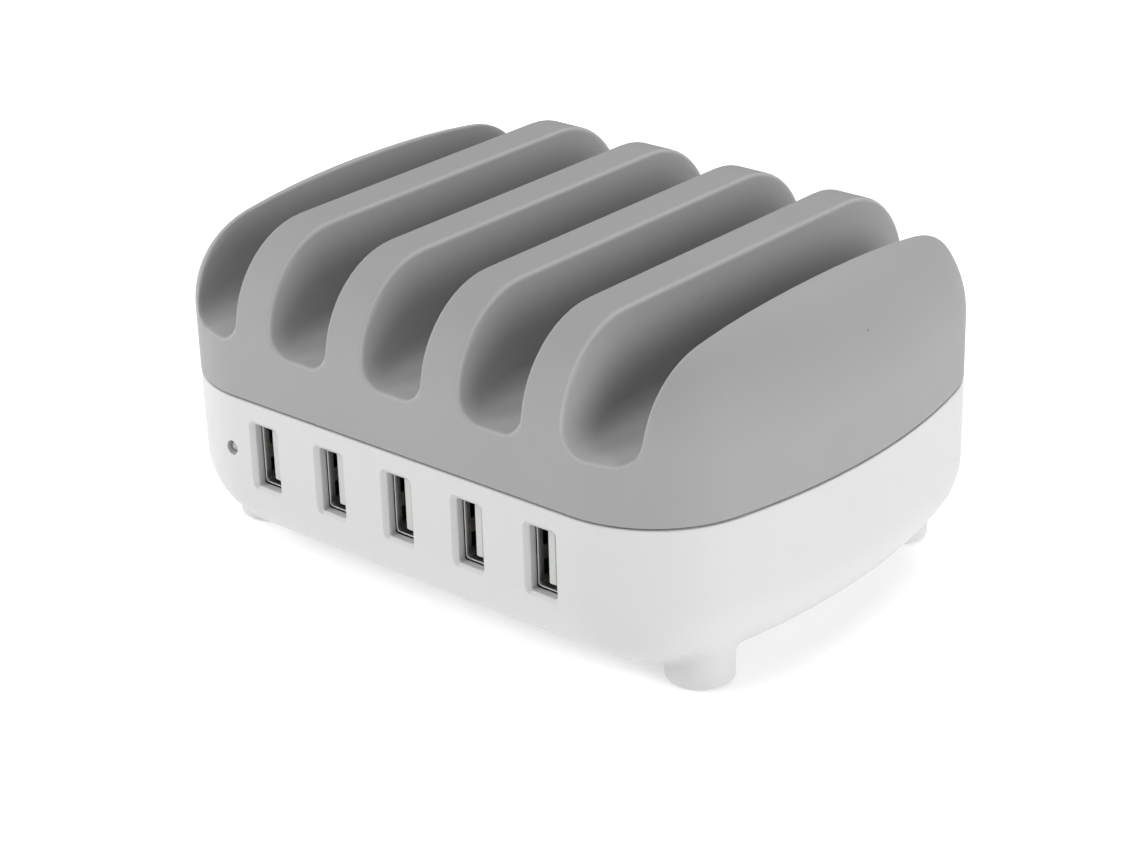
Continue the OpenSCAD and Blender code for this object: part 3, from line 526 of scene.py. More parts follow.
def feet_tree():
    """A copy over each of the four feet: front left, front right, rear left and rear right."""
    name = "Copies at the feet"
    if name in bpy.data.node_groups:
        return bpy.data.node_groups[name]
    labels = ["Front X", "Front Y", "Rear X", "Rear Y"]
    tree, start, end = new_tree(name, [(label, "NodeSocketFloat") for label in labels])
    index = tree.nodes.new("GeometryNodeInputIndex").outputs[0]
    right = maths(tree, "MODULO", index, 2.0)
    side = maths(tree, "SUBTRACT", maths(tree, "MULTIPLY", right, 2.0), 1.0)
    at_rear = maths(tree, "GREATER_THAN", index, 1.5)

    def along(axis):
        front, rear = start.outputs[f"Front {axis}"], start.outputs[f"Rear {axis}"]
        return maths(tree, "MULTIPLY_ADD", maths(tree, "SUBTRACT", rear, front), at_rear, front)

    points = tree.nodes.new("GeometryNodePoints")
    points.inputs["Count"].default_value = 4
    across = maths(tree, "MULTIPLY", along("X"), side)
    plug(tree, points.inputs["Position"], plan_point(tree, across, along("Y")))
    copies_on(tree, start, end, points.outputs[0])
    return tree


def repeat(thing, tree, **values):
    """Runs a node tree on a shape, with a value for each named input, and keeps the result as its mesh."""
    modifier = thing.modifiers.new(tree.name, "NODES")
    modifier.node_group = tree
    for item in tree.interface.items_tree:
        if item.in_out == "INPUT" and item.name != "Geometry":
            modifier[item.identifier] = values[item.name.replace(" ", "_").lower()]
    return baked(thing)


def row_of(thing, h, material=None):
    """One copy at each socket."""
    return repeat(thing, row_tree(), material=material, count=h.port_count, pitch=h.port_pitch * MM)


def at_feet(thing, h, material=None):
    """One copy at each foot."""
    (front_x, front_y), (rear_x, rear_y) = h.feet
    places = {"front_x": front_x, "front_y": front_y, "rear_x": rear_x, "rear_y": rear_y}
    return repeat(thing, feet_tree(), material=material, **{key: float(v) * MM for key, v in places.items()})


# Materials

# Share of the fine grain in the tone, and the specks' smallest radius and its spread, in cells
GRAIN_IN_TONE = 0.35
SPECK_SMALLEST, SPECK_SPREAD = 0.02, 0.05
# Tone of a speck beside its surroundings
SPECK_TONE = 0.45
BUMP_STRENGTH = 0.6
# Mesh attribute for a painted highlight: 1 along the middle of a rounded slot edge and 0 away from it
PAINTED_HIGHLIGHT_ATTRIBUTE = "rim"


def shader_group(name, inputs, outputs):
    """Empty shader group with named inputs and outputs."""
    tree = bpy.data.node_groups.new(name, "ShaderNodeTree")
    tree.interface.new_socket("Vector", in_out="INPUT", socket_type="NodeSocketVector")
    for label, value in inputs:
        socket = tree.interface.new_socket(label, in_out="INPUT", socket_type="NodeSocketFloat")
        socket.default_value = value
    for label in outputs:
        tree.interface.new_socket(label, in_out="OUTPUT", socket_type="NodeSocketFloat")
    return tree, tree.nodes.new("NodeGroupInput"), tree.nodes.new("NodeGroupOutput")


def noise(tree, start, size, detail, roughness):
    """Noise on a group's vector, whose features have the size that one of its inputs gives in metres."""
    node = tree.nodes.new("ShaderNodeTexNoise")
    plug(tree, node.inputs["Vector"], start.outputs["Vector"])
    plug(tree, node.inputs["Scale"], maths(tree, "DIVIDE", 1.0, start.outputs[size]))
    plug(tree, node.inputs["Detail"], detail)
    plug(tree, node.inputs["Roughness"], roughness)
    return node.outputs["Fac"]


def grain_group():
    """Moulded grain: a fine height, a soft drift of tone and scattered specks."""
    name = "Moulded grain"
    if name in bpy.data.node_groups:
        return bpy.data.node_groups[name]
    inputs = [("Grain Size", 0.0003), ("Drift Size", 0.03), ("Speck Size", 0.004), ("Speck Share", 0.1)]
    tree, start, end = shader_group(name, inputs, ["Height", "Tone", "Speck"])
    fine = noise(tree, start, "Grain Size", 3.0, 0.6)
    drift = noise(tree, start, "Drift Size", 2.0, 0.5)
    plug(tree, end.inputs["Height"], fine)
    grain_tone = maths(tree, "SUBTRACT", fine, 0.5)
    plug(tree, end.inputs["Tone"], maths(tree, "MULTIPLY_ADD", grain_tone, GRAIN_IN_TONE, drift))

    # One cell in each speck's size holds a speck where its random colour says so
    cells = tree.nodes.new("ShaderNodeTexVoronoi")
    plug(tree, cells.inputs["Vector"], start.outputs["Vector"])
    plug(tree, cells.inputs["Scale"], maths(tree, "DIVIDE", 1.0, start.outputs["Speck Size"]))
    chance = tree.nodes.new("ShaderNodeSeparateColor")
    plug(tree, chance.inputs[0], cells.outputs["Color"])
    chosen = maths(tree, "LESS_THAN", chance.outputs[0], start.outputs["Speck Share"])
    radius = maths(tree, "MULTIPLY_ADD", chance.outputs[1], SPECK_SPREAD, SPECK_SMALLEST)
    near = maths(tree, "LESS_THAN", cells.outputs["Distance"], radius)
    plug(tree, end.inputs["Speck"], maths(tree, "MULTIPLY", chosen, near))
    return tree


def wear_group():
    """Handling: a low-contrast smudge that changes the gloss."""
    name = "Handling"
    if name in bpy.data.node_groups:
        return bpy.data.node_groups[name]
    inputs = [("Size", 0.02), ("Gloss", 0.5), ("Amount", 0.06)]
    tree, start, end = shader_group(name, inputs, ["Roughness"])
    smudge = maths(tree, "SUBTRACT", noise(tree, start, "Size", 4.0, 0.6), 0.5)
    rough = maths(tree, "MULTIPLY_ADD", smudge, start.outputs["Amount"], start.outputs["Gloss"])
    plug(tree, end.inputs["Roughness"], rough)
    return tree


def placed(tree, group, vector, **values):
    """A shader group in a material, with its own values."""
    node = tree.nodes.new("ShaderNodeGroup")
    node.node_tree = group
    plug(tree, node.inputs["Vector"], vector)
    for label, value in values.items():
        plug(tree, node.inputs[label.replace("_", " ").title()], value)
    return node


def blended(tree, factor, first, second):
    node = tree.nodes.new("ShaderNodeMix")
    node.data_type = "RGBA"
    plug(tree, node.inputs["Factor"], factor)
    plug(tree, node.inputs["A"], first)
    plug(tree, node.inputs["B"], second)
    return node.outputs["Result"]


def shade(tint, share):
    return (*[min(c * share, 1.0) for c in tint], 1.0)


def finish(
    name,
    tint,
    gloss=0.5,
    grain=0.3,
    depth=0.01,
    contrast=0.04,
    specks=0.0,
    metallic=0.0,
    coat=0.0,
    glow=0.0,
    rim=0.0,
    stretch=(1.0, 1.0, 1.0),
):
    """Procedural finish: tint, roughness, grain size and depth in millimetres, tone contrast, share of
    specks, own light, and how much lighter the painted highlight along a rounded edge is."""
    if name in bpy.data.materials:
        return bpy.data.materials[name]
    material = bpy.data.materials.new(name)
    material.use_nodes = True
    tree = material.node_tree
    shader = tree.nodes["Principled BSDF"]
    where = tree.nodes.new("ShaderNodeTexCoord").outputs["Object"]
    mapping = tree.nodes.new("ShaderNodeMapping")
    mapping.inputs["Scale"].default_value = stretch
    plug(tree, mapping.inputs["Vector"], where)
    pattern = placed(tree, grain_group(), mapping.outputs[0], grain_size=grain * MM, speck_share=specks)
    tone = blended(tree, pattern.outputs["Tone"], shade(tint, 1.0 - contrast), shade(tint, 1.0 + contrast))
    tone = blended(tree, pattern.outputs["Speck"], tone, shade(tint, SPECK_TONE))
    # Painted highlight: the colour is lightened along the rounded slot edges that the attribute marks
    if rim:
        edge = tree.nodes.new("ShaderNodeAttribute")
        edge.attribute_name = PAINTED_HIGHLIGHT_ATTRIBUTE
        tone = blended(tree, edge.outputs["Fac"], tone, shade(tint, 1.0 + rim))
    handling = placed(tree, wear_group(), where, gloss=gloss)
    bump = tree.nodes.new("ShaderNodeBump")
    bump.inputs["Strength"].default_value = BUMP_STRENGTH
    bump.inputs["Distance"].default_value = depth * MM
    plug(tree, bump.inputs["Height"], pattern.outputs["Height"])
    plug(tree, shader.inputs["Base Color"], tone)
    plug(tree, shader.inputs["Roughness"], handling.outputs["Roughness"])
    plug(tree, shader.inputs["Normal"], bump.outputs["Normal"])
    shader.inputs["Metallic"].default_value = metallic
    shader.inputs["Coat Weight"].default_value = coat
    shader.inputs["Emission Strength"].default_value = glow
    return material


STEEL = (0.60, 0.60, 0.61)
NICKEL = (0.5, 0.5, 0.5)
FINISHES = {
    "socket_shell": dict(tint=NICKEL, gloss=0.34, metallic=1.0, grain=0.2, depth=0.004, stretch=(1, 0.15, 1)),
    "contact_metal": dict(tint=(0.83, 0.62, 0.28), gloss=0.28, metallic=1.0, grain=0.15, depth=0.002),
    "screw_steel": dict(tint=STEEL, gloss=0.36, metallic=1.0, grain=0.15, depth=0.004),
    "plated_wire": dict(tint=(0.72, 0.72, 0.72), gloss=0.3, metallic=1.0, grain=0.2, depth=0.003),
    "board_laminate": dict(tint=(0.03, 0.16, 0.07), gloss=0.38, grain=0.7, depth=0.01, contrast=0.12, coat=0.4),
    "insulating_film": dict(tint=(0.78, 0.75, 0.66), gloss=0.32, grain=0.5, depth=0.004, contrast=0.05),
    "black_moulding": dict(tint=(0.022, 0.022, 0.024), gloss=0.46, grain=0.3, depth=0.012, contrast=0.15),
    "ferrite": dict(tint=(0.045, 0.045, 0.048), gloss=0.62, grain=0.35, depth=0.02, contrast=0.2),
    "winding_tape": dict(tint=(0.78, 0.60, 0.08), gloss=0.35, grain=1.2, depth=0.02, contrast=0.1),
    "capacitor_sleeve": dict(tint=(0.03, 0.05, 0.10), gloss=0.3, grain=0.8, depth=0.006, contrast=0.12, coat=0.3),
    "yellow_case": dict(tint=(0.76, 0.52, 0.06), gloss=0.4, grain=0.4, depth=0.01, contrast=0.08),
    "enamelled_wire": dict(
        tint=(0.55, 0.22, 0.07), gloss=0.25, metallic=0.9, grain=0.6, depth=0.06, stretch=(1, 1, 0.1)
    ),
    "fuse_ceramic": dict(tint=(0.74, 0.72, 0.67), gloss=0.42, grain=0.3, depth=0.008, contrast=0.06),
    "thermistor_coat": dict(tint=(0.03, 0.05, 0.035), gloss=0.5, grain=0.5, depth=0.03, contrast=0.2),
    "blue_coat": dict(tint=(0.02, 0.12, 0.42), gloss=0.35, grain=0.8, depth=0.03, contrast=0.12),
    "optocoupler_case": dict(tint=(0.70, 0.70, 0.68), gloss=0.5, grain=0.25, depth=0.01),
    "sink_aluminium": dict(tint=(0.70, 0.71, 0.72), gloss=0.42, metallic=1.0, grain=0.3, stretch=(1, 1, 0.12)),
}


def finish_for(slot_name):
    return finish(slot_name.replace("_", " ").capitalize(), **FINISHES[slot_name])


def cover_finish(colours):
    # rim sets how much lighter the painted highlight along the rounded slot edges is
    look = dict(gloss=0.62, grain=0.28, depth=0.02, contrast=0.035, specks=0.05, rim=0.3)
    return finish("Cover grain", tuple(colours.cover), **look)


def base_finish(colours):
    look = dict(gloss=0.42, grain=0.35, depth=0.006, contrast=0.012, specks=0.006)
    return finish("Base satin", tuple(colours.base), **look)


def piece(thing, slot_name, *nodes):
    """Seats a finished piece on the housing and hides the CAD nodes that it stands for; the finish's name is not
    used.
    """
    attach(thing, "root")
    if nodes:
        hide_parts(*nodes)
    return thing


# The cover

# Places across half a slot, as shares of the way from its floor's middle to its mouth
SLOT_SHARES = [0, 0.05, 0.1, 0.145, 0.19, 0.235, 0.28, 0.325, 0.37, 0.5, 0.65, 0.78, 0.88]
SLOT_SHARES += [0.958, 0.969, 0.979]
SLOT_SHARES += [0.988, 0.995, 1.0]
FIN_SHARES = [0.014, 0.034, 0.062, 0.09, 0.126, 0.3, 0.5, 0.7, 0.874, 0.91, 0.938, 0.966, 0.986]
EDGE_SHARES = [0.008, 0.021, 0.038, 0.056, 0.08]
ROUND_DEGREES = [0, 5, 10, 16, 22, 28, 34, 40, 47, 54, 61, 68, 75, 82, 90]
OUTER_DEGREES = [64, 58, 52, 46, 40, 34, 28, 22, 16, 10, 5, 0]
SKIRT_SHARES = [0.016, 0.04, 0.075, 0.115, 0.165, 0.23, 0.32, 0.46, 0.66, 1.0]
INNER_SHARES = [0.66, 0.32, 0.165, 0.075, 0.03]
# Direction of the outline where the grid's corners lie, in degrees
GRID_CORNER = 38.0
MIDDLE_ROWS = 9


def cover_rows(h):
    """Rows from front to rear, as shares of the half depth."""
    past = 1 - np.cos(np.radians(ROUND_DEGREES))
    front = -1 + h.front_round / h.half_d * past
    rear = 1 - h.rear_round / h.half_d * past[::-1]
    middle = np.linspace(front[-1], rear[0], MIDDLE_ROWS + 2)[1:-1]
    return np.concatenate([front, middle, rear])


def slot_edge(h, centre, side, rows, wall):
    """Plan points of a slot's edge along the rows."""
    x, _ = h.slot_profile(h.slot_reach(centre, side, rows, wall), wall)
    x = centre + side * x
    return x, rows * h.half_depth(x, wall)


def outer_fin(h, rows, wall):
    """Columns from the last slot's edge to the bowed side, as plan points."""
    last = (h.slot_count - 1) / 2 * h.slot_pitch
    edge_x, edge_y = slot_edge(h, last, 1, rows, wall)
    corner = math.radians(GRID_CORNER)
    reach = h.corner_radius - wall
    side_y = rows * (h.corner_y + reach * math.sin(corner))
    side_x = h.half_width(side_y, wall)
    mouth = last + h.slot_width / 2
    outer = 1 - h.side_round * (1 - np.cos(np.radians(OUTER_DEGREES))) / (h.half_w - mouth)
    shares = EDGE_SHARES + [float(share) for share in outer if share > 1.5 * EDGE_SHARES[-1]]
    start = np.arctan2(edge_y[-1] - h.corner_y, edge_x[-1] - h.corner_x)
    columns = []
    for share in shares:
        x = (1 - share) * edge_x + share * side_x
        y = (1 - share) * edge_y + share * side_y
        turn = (1 - share) * start + share * corner
        corner_x, corner_y = h.corner_x + reach * math.cos(turn), h.corner_y + reach * math.sin(turn)
        # Towards each end the column leans over to its own place on the corner
        front, rear = ((1 - rows) / 2) ** 4, ((1 + rows) / 2) ** 4
        lean_x = front * (corner_x - x[0]) + rear * (corner_x - x[-1])
        lean_y = front * (-corner_y - y[0]) + rear * (corner_y - y[-1])
        columns.append((x + lean_x, y + lean_y))
    return columns


def cover_grid(h, wall):
    """Points of one skin of the cover, by column from left to right and by row from front to rear."""
    rows = cover_rows(h)
    outer = outer_fin(h, rows, wall)
    columns = [(-x, y, h.loaf_height(x, y, wall)) for x, y in reversed(outer)]
    for i in range(h.slot_count):
        centre = (i - (h.slot_count - 1) / 2) * h.slot_pitch
        for side, shares in ((-1, SLOT_SHARES[:0:-1]), (1, SLOT_SHARES)):
            reach = h.slot_reach(centre, side, rows, wall)
            for share in shares:
                x, z = h.slot_profile(share * reach, wall)
                x = centre + side * x
                columns.append((x, rows * h.half_depth(x, wall), z))
        if i < h.slot_count - 1:
            left, _ = slot_edge(h, centre, 1, rows, wall)
            right, _ = slot_edge(h, centre + h.slot_pitch, -1, rows, wall)
            for share in FIN_SHARES:
                x = (1 - share) * left + share * right
                y = rows * h.half_depth(x, wall)
                columns.append((x, y, h.loaf_height(x, y, wall)))
    columns += [(x, y, h.loaf_height(x, y, wall)) for x, y in outer]
    return np.array(columns).transpose(0, 2, 1)


def rim_of(grid):
    """Indices of a grid's border, once round."""
    across, along = grid.shape[:2]
    index = np.arange(across * along).reshape(across, along)
    return np.concatenate([index[:, 0], index[-1, 1:], index[-2::-1, -1], index[0, -2:0:-1]])


def grid_faces(grid, start):
    across, along = grid.shape[:2]
    index = start + np.arange(across * along).reshape(across, along)
    return [
        (index[i, j], index[i + 1, j], index[i + 1, j + 1], index[i, j + 1])
        for i in range(across - 1)
        for j in range(along - 1)
    ]


def plan_normals(h, points):
    _, direction = h.outline(points[:, 0], points[:, 1])
    return np.sign(points[:, :2]) * np.stack([np.cos(direction), np.sin(direction)], axis=1)


def make_cover(h, colours):
    rim = h.seam_height + h.seam_gap / 2
    lip_top = h.seam_height + h.lip_rise + h.lip_clearance
    rebate = h.wall - h.lip - h.lip_clearance
    outer, inner = cover_grid(h, 0.0), cover_grid(h, h.wall)
    border = rim_of(outer)
    top = outer.reshape(-1, 3)[border]
    inner_top = inner.reshape(-1, 3)[border]
    facing = plan_normals(h, top)

    def level(points, height, inset=0.0):
        layer = points.copy()
        layer[:, :2] -= facing * inset
        layer[:, 2] = height
        return layer

    # Skirt from the border down to the rounded rim
    foot = rim + h.rim_edge
    layers = [level(top, top[:, 2] + share * (foot - top[:, 2])) for share in SKIRT_SHARES]
    skin_layers = len(layers)
    for turn in np.radians([30, 60, 90]):
        layers.append(level(top, rim + h.rim_edge * (1 - math.sin(turn)), h.rim_edge * (1 - math.cos(turn))))
    # Rim, rebate for the base's lip, and the inner wall up to the inner border
    layers += [level(top, rim, rebate), level(top, lip_top, rebate), level(inner_top, lip_top)]
    for share in INNER_SHARES:
        layers.append(level(inner_top, inner_top[:, 2] + share * (lip_top - inner_top[:, 2])))

    count, per_grid = len(border), outer.shape[0] * outer.shape[1]
    points = np.concatenate([outer.reshape(-1, 3), *layers, inner.reshape(-1, 3)])
    inner_start = per_grid + count * len(layers)
    outside = np.arange(per_grid + count * skin_layers)
    points[outside] = settle(h.cover(0.0, h.fin_edge), points[outside])
    inside = np.arange(inner_start - count * len(INNER_SHARES), len(points))
    points[inside] = settle(h.cover(h.wall, h.inner_edge), points[inside])

    faces = grid_faces(outer, 0) + grid_faces(inner, inner_start)
    rings = [border] + [per_grid + count * k + np.arange(count) for k in range(len(layers))]
    rings.append(inner_start + border)
    for low, high in zip(rings, rings[1:]):
        faces += zip(low, np.roll(low, -1), np.roll(high, -1), high)
    thing = outward(make_mesh("slotted_cover", points, faces, cover_finish(colours)))
    settle_shading(thing, h.cover(0.0, h.fin_edge), tolerance=0.01)
    # Marks the rounded slot edges that get a painted highlight
    mark_painted_edge_highlights(thing, h)
    piece(thing, "cover_plastic", "top_cover")

    chamfer = 0.3
    post = [(0, h.boss_top), (h.post_radius - chamfer, h.boss_top), (h.post_radius, h.boss_top + chamfer)]
    post += [(h.post_radius, h.slot_floor - h.wall / 2), (0, h.slot_floor - h.wall / 2)]
    posts = at_feet(lathe("cover_posts", post), h, cover_finish(colours))
    posts.data.shade_smooth()
    piece(soften(posts, 0.1), "cover_plastic")


def mark_painted_edge_highlights(thing, h):
    """Marks where a highlight is painted along the rounded edges of the slots, by how far each point lies under
    the sharp-edged form.
    """
    points = np.array([vertex.co for vertex in thing.data.vertices]) / MM
    nearly_sharp, tolerance = 0.01, 0.05
    under = -h.cover(0.0, nearly_sharp)(points) / ((1 - math.sqrt(0.5)) * h.fin_edge)
    on_skin = np.abs(h.cover(0.0, h.fin_edge)(points)) < tolerance
    edge = thing.data.attributes.new(PAINTED_HIGHLIGHT_ATTRIBUTE, "FLOAT", "POINT")
    edge.data.foreach_set("value", np.where(on_skin, np.clip(under, 0.0, 1.0), 0.0))


# The base

FOOT_SIDES = 72
# Clearance round a pad in its recess
PAD_CLEARANCE = 0.1
# Radii of the recess for a screw's head and of the hole for its shank, and the height of the head
SCREW_RECESS_RADIUS, SCREW_BORE_RADIUS, SCREW_HEAD = 2.95, 1.65, 2.0
# Clearance round the inlet's body, and the corner radius of its opening without it
INLET_CLEARANCE, INLET_CORNER = 0.2, 2.0


def tub_profile(h):
    """Insets and heights of the base's rings, from the underside up the outside and down the inside."""
    rim, lip_top = h.seam_height - h.seam_gap / 2, h.seam_height + h.lip_rise

    def bowl(inset, radius, turns):
        floor = h.base_height + inset
        return [(inset + radius * (1 - math.sin(t)), floor + radius * (1 - math.cos(t))) for t in turns]

    turns = np.radians(np.linspace(0, 90, 15))
    corner = np.radians([0, 30, 60, 90])
    edge = [(h.rim_edge * (1 - math.cos(t)), rim - h.rim_edge * (1 - math.sin(t))) for t in corner]
    shoulder, chamfer = h.wall - h.lip, 0.2
    lip = [(shoulder, rim), (shoulder, lip_top - chamfer), (shoulder + chamfer, lip_top), (h.wall, lip_top)]
    return bowl(0, h.base_round, turns) + edge + lip + bowl(h.wall, h.base_round - h.wall, turns[::-1])


def foot_solid(h, x, y):
    """Moulded foot with a rounded lower edge and a fillet that follows the tub's underside."""
    turn = np.linspace(0, 2 * math.pi, FOOT_SIDES, endpoint=False)
    reach, core = h.foot_radius, 0.5

    def under(radius, lift=0.0):
        """Ring on the underside of the tub, round the foot's axis."""
        px, py = x + radius * np.cos(turn), y + radius * np.sin(turn)
        distance, _ = h.outline(px, py)
        past = np.clip(distance + h.base_round, 0, h.base_round)
        height = h.base_height + h.base_round - np.sqrt(h.base_round**2 - past**2)
        return np.stack([px, py, height + lift], axis=1)

    def level(radius, height):
        ring = under(radius)
        ring[:, 2] = height
        return ring

    curved = []
    for t in np.radians([20, 45, 70, 90]):
        radius = reach - h.foot_edge * (1 - math.sin(t))
        curved.append(level(radius, h.foot_bottom + h.foot_edge * (1 - math.cos(t))))
    join = under(reach)[:, 2]
    for share in (1.2, 0.95, 0.7, 0.5, 0.3, 0.15):
        lowest = h.foot_bottom + h.foot_edge + 0.02 * (2 - share)
        curved.append(level(reach, np.maximum(join - share * h.foot_fillet, lowest)))
    curved += [under(reach + share * h.foot_fillet, -0.01) for share in (0.1, 0.3, 0.5, 0.75, 1.0, 1.3)]
    rings = [level(radius, h.foot_bottom) for radius in (core, reach - h.foot_edge)]
    rings += list(settle(h.base, np.concatenate(curved)).reshape(-1, FOOT_SIDES, 3))
    # The foot ends inside the wall, which it is joined to
    rings.append(under(reach + 1.45 * h.foot_fillet, 0.25))
    rings += [under(radius, h.wall / 2) for radius in (reach, core)]
    return outward(make_mesh("foot", *skin(rings)))


def oblong(half_x, half_z, corner, y, z, x=0.0, step=15):
    """Points round an upright rectangle with rounded corners, one every few degrees of each corner."""
    ring = []
    for sx, sz, start in ((1, 1, 0), (-1, 1, 90), (-1, -1, 180), (1, -1, 270)):
        for turn in np.radians(range(start, start + 91, step)):
            across = x + sx * (half_x - corner) + corner * math.cos(turn)
            up = z + sz * (half_z - corner) + corner * math.sin(turn)
            ring.append((across, y, up))
    return ring


def window_cutter(h):
    """Cutter for one socket window: chamfer with softened edges, then a straight wall."""
    chamfer = h.window_chamfer
    # Depths behind the front face, and how far the outline has grown there
    stages = [(-0.5, 1.9), (-0.02, 0.32), (0.04, 0.18), (0.14, 0.06), (0.24, -0.06)]
    stages += [(chamfer - 0.02, 0.14 - chamfer), (chamfer + 0.08, 0.05 - chamfer), (chamfer + 0.22, -chamfer)]
    stages.append((h.wall + h.window_collar + OVER, -chamfer))
    half_x, half_z = h.window_width / 2, h.window_height / 2
    rings = [
        oblong(half_x + grow, half_z + grow, h.window_corner + grow, depth - h.half_d, h.port_height, step=9)
        for depth, grow in stages
    ]
    return outward(make_mesh("window_cutter", *skin(rings)))


def window_collar(h):
    """Solid block behind one window, which its cutter opens into a collar round the socket's mouth."""
    half_x, half_z = h.window_width / 2, h.window_height / 2
    inside = -h.half_d + h.wall
    return slab(
        "window_collar",
        (-half_x, inside - h.wall / 2, h.port_height - half_z),
        (half_x, inside + h.window_collar, h.port_height + half_z),
    )


def inlet_cutter(h):
    """Cutter for the inlet's opening in the rear wall, with a small clearance round its body."""
    low, high = np.array(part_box("inlet_body")) / MM
    half_x, _, half_z = (high - low) / 2
    x, _, z = (high + low) / 2
    rings = []
    for depth, grow in ((-h.wall - OVER, 0), (-0.25, 0), (0.05, 0.3), (1, 1.2)):
        spare = INLET_CLEARANCE + grow
        corner = INLET_CORNER + spare
        rings.append(oblong(half_x + spare, half_z + spare, corner, h.half_d + depth, z, x, step=10))
    return outward(make_mesh("inlet_cutter", *skin(rings)))


def lay_forward(thing, place_mm):
    """Turns a shape made along Z so that it points to the front, and moves it to its place."""
    turn = Matrix.Translation(Vector(place_mm) * MM) @ Matrix.Rotation(math.radians(90), 4, "X")
    thing.data.transform(turn)
    return thing


def screw_recess(h):
    """Profile of the hole under a foot: room for the pad, then for the screw's head and its shank."""
    head, _ = np.array(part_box("housing_screws")) / MM
    seat, pad = head[2] + SCREW_HEAD, h.pad_radius + PAD_CLEARANCE
    recess = [(0, -OVER), (pad, -OVER), (pad, h.pad_height), (SCREW_RECESS_RADIUS, h.pad_height)]
    recess += [(SCREW_RECESS_RADIUS, seat), (SCREW_BORE_RADIUS, seat)]
    return recess + [(SCREW_BORE_RADIUS, h.boss_top + OVER), (0, h.boss_top + OVER)]


def lamp_cutter(h):
    """Cutter for the lamp's hole, with a softened edge at the front."""
    low, high = np.array(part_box("status_lamp")) / MM
    x, _, z = (low + high) / 2
    radius = h.lamp_hole
    hole = [(0, -h.wall - OVER), (radius, -h.wall - OVER), (radius, -0.16), (radius + 0.07, -0.04)]
    hole += [(radius + 0.25, 0.06), (radius + 0.9, 0.6), (0, 0.6)]
    return lay_forward(lathe("lamp_cutter", hole, segments=64), (x, -float(h.half_depth(x, 0.0)), z))


def make_base(h, colours):
    points, faces = skin([h.ring(inset, z) for inset, z in tub_profile(h)])
    base = outward(make_mesh("satin_base", points, faces, base_finish(colours)))
    for side in (-1, 1):
        for x, y in h.feet:
            combine(base, foot_solid(h, side * x, y), "UNION")
    floor = h.base_height + h.wall / 2
    boss = [(0, floor), (h.boss_radius, floor), (h.boss_radius, h.boss_top), (0, h.boss_top)]
    combine(base, at_feet(lathe("bosses", boss), h), "UNION")
    combine(base, at_feet(lathe("recesses", screw_recess(h)), h), "DIFFERENCE")
    combine(base, row_of(window_collar(h), h), "UNION")
    combine(base, row_of(window_cutter(h), h), "DIFFERENCE")
    combine(base, lamp_cutter(h), "DIFFERENCE")
    combine(base, inlet_cutter(h), "DIFFERENCE")
    base.data.materials.clear()
    base.data.materials.append(base_finish(colours))
    settle_shading(base, h.base)
    piece(base, "base_plastic", "base_shell")


# Sockets, in millimetres from the shell's front edge, its middle or the contacts' face

SPRING_FRONT, SPRING_LENGTH, SPRING_WIDTH, SPRING_PITCH = 1.5, 8.0, 3.3, 6.4
BLOCK_LENGTH = 3.4
TONGUE_LEFT, TONGUE_RIGHT = 0.12, 1.84
TONGUE_SETBACK, TONGUE_RAISE, TONGUE_HALF_HEIGHT = 0.1, 0.4, 5.8
GROOVE_SETBACK, GROOVE_HALF_WIDTH, GROOVE_DEPTH = 1.6, 0.6, 0.22
CONTACT_HEIGHTS = (-3.5, -1.0, 1.0, 3.5)
CONTACT_HALF_WIDTH, CONTACT_SHEET = 0.5, 0.2
LEG_STEP, LEG_WIDTH = 1.3, 0.5


def socket_shell(low, high):
    """Folded sheet shell with a slightly flared mouth."""
    sheet, corner, flare = 0.3, 0.7, 0.05
    half_x, _, half_z = (high - low) / 2
    front, rear, middle = low[1], high[1], (low[2] + high[2]) / 2
    mouth = [(front + 0.25, flare * 0.8), (front + 0.7, flare * 0.2), (front + 1.1, 0)]
    # Place along the shell, depth inside the sheet and flare, once round the sheet's section
    stages = [(front, 0, flare)] + [(y, 0, out) for y, out in mouth] + [(rear, 0, 0), (rear, sheet, 0)]
    stages += [(y, sheet, out) for y, out in mouth[::-1]] + [(front, sheet * 0.6, flare)]
    rings = [
        oblong(half_x - inset + out, half_z - inset + out, corner - inset, y, middle)
        for y, inset, out in stages
    ]
    points, faces = skin(rings)
    count = len(rings[0])
    last = (len(rings) - 1) * count
    faces = faces[2:] + [(last + i, last + (i + 1) % count, (i + 1) % count, i) for i in range(count)]
    return outward(make_mesh("socket_shells", points, faces))


def slab(name, low, high):
    corners = [(x, y, z) for x in (low[0], high[0]) for y in (low[1], high[1]) for z in (low[2], high[2])]
    faces = [(0, 1, 3, 2), (4, 6, 7, 5), (0, 4, 5, 1), (2, 3, 7, 6), (0, 2, 6, 4), (1, 5, 7, 3)]
    return outward(make_mesh(name, corners, faces))


def spring_finger(side, half_x, front, z):
    """Bent strip inside a spring window, rooted at the window's rear end."""
    # Distances behind the front edge, and how far the strip is bent inwards there
    run = [(9.6, 0.0), (8.6, 0.03), (7.4, 0.25), (6.2, 0.62), (5.2, 0.82), (4.6, 0.78), (4.0, 0.52)]
    sheet, root_half_width, taper = 0.25, 0.85, 0.02
    rings = []
    for along, inward in run:
        half = root_half_width - taper * (run[0][0] - along)
        near, far = side * (half_x - inward), side * (half_x - inward - sheet)
        corners = ((near, -half), (near, half), (far, half), (far, -half))
        rings.append([(x, front + along, z + up) for x, up in corners])
    return outward(make_mesh("finger", *skin(rings)))


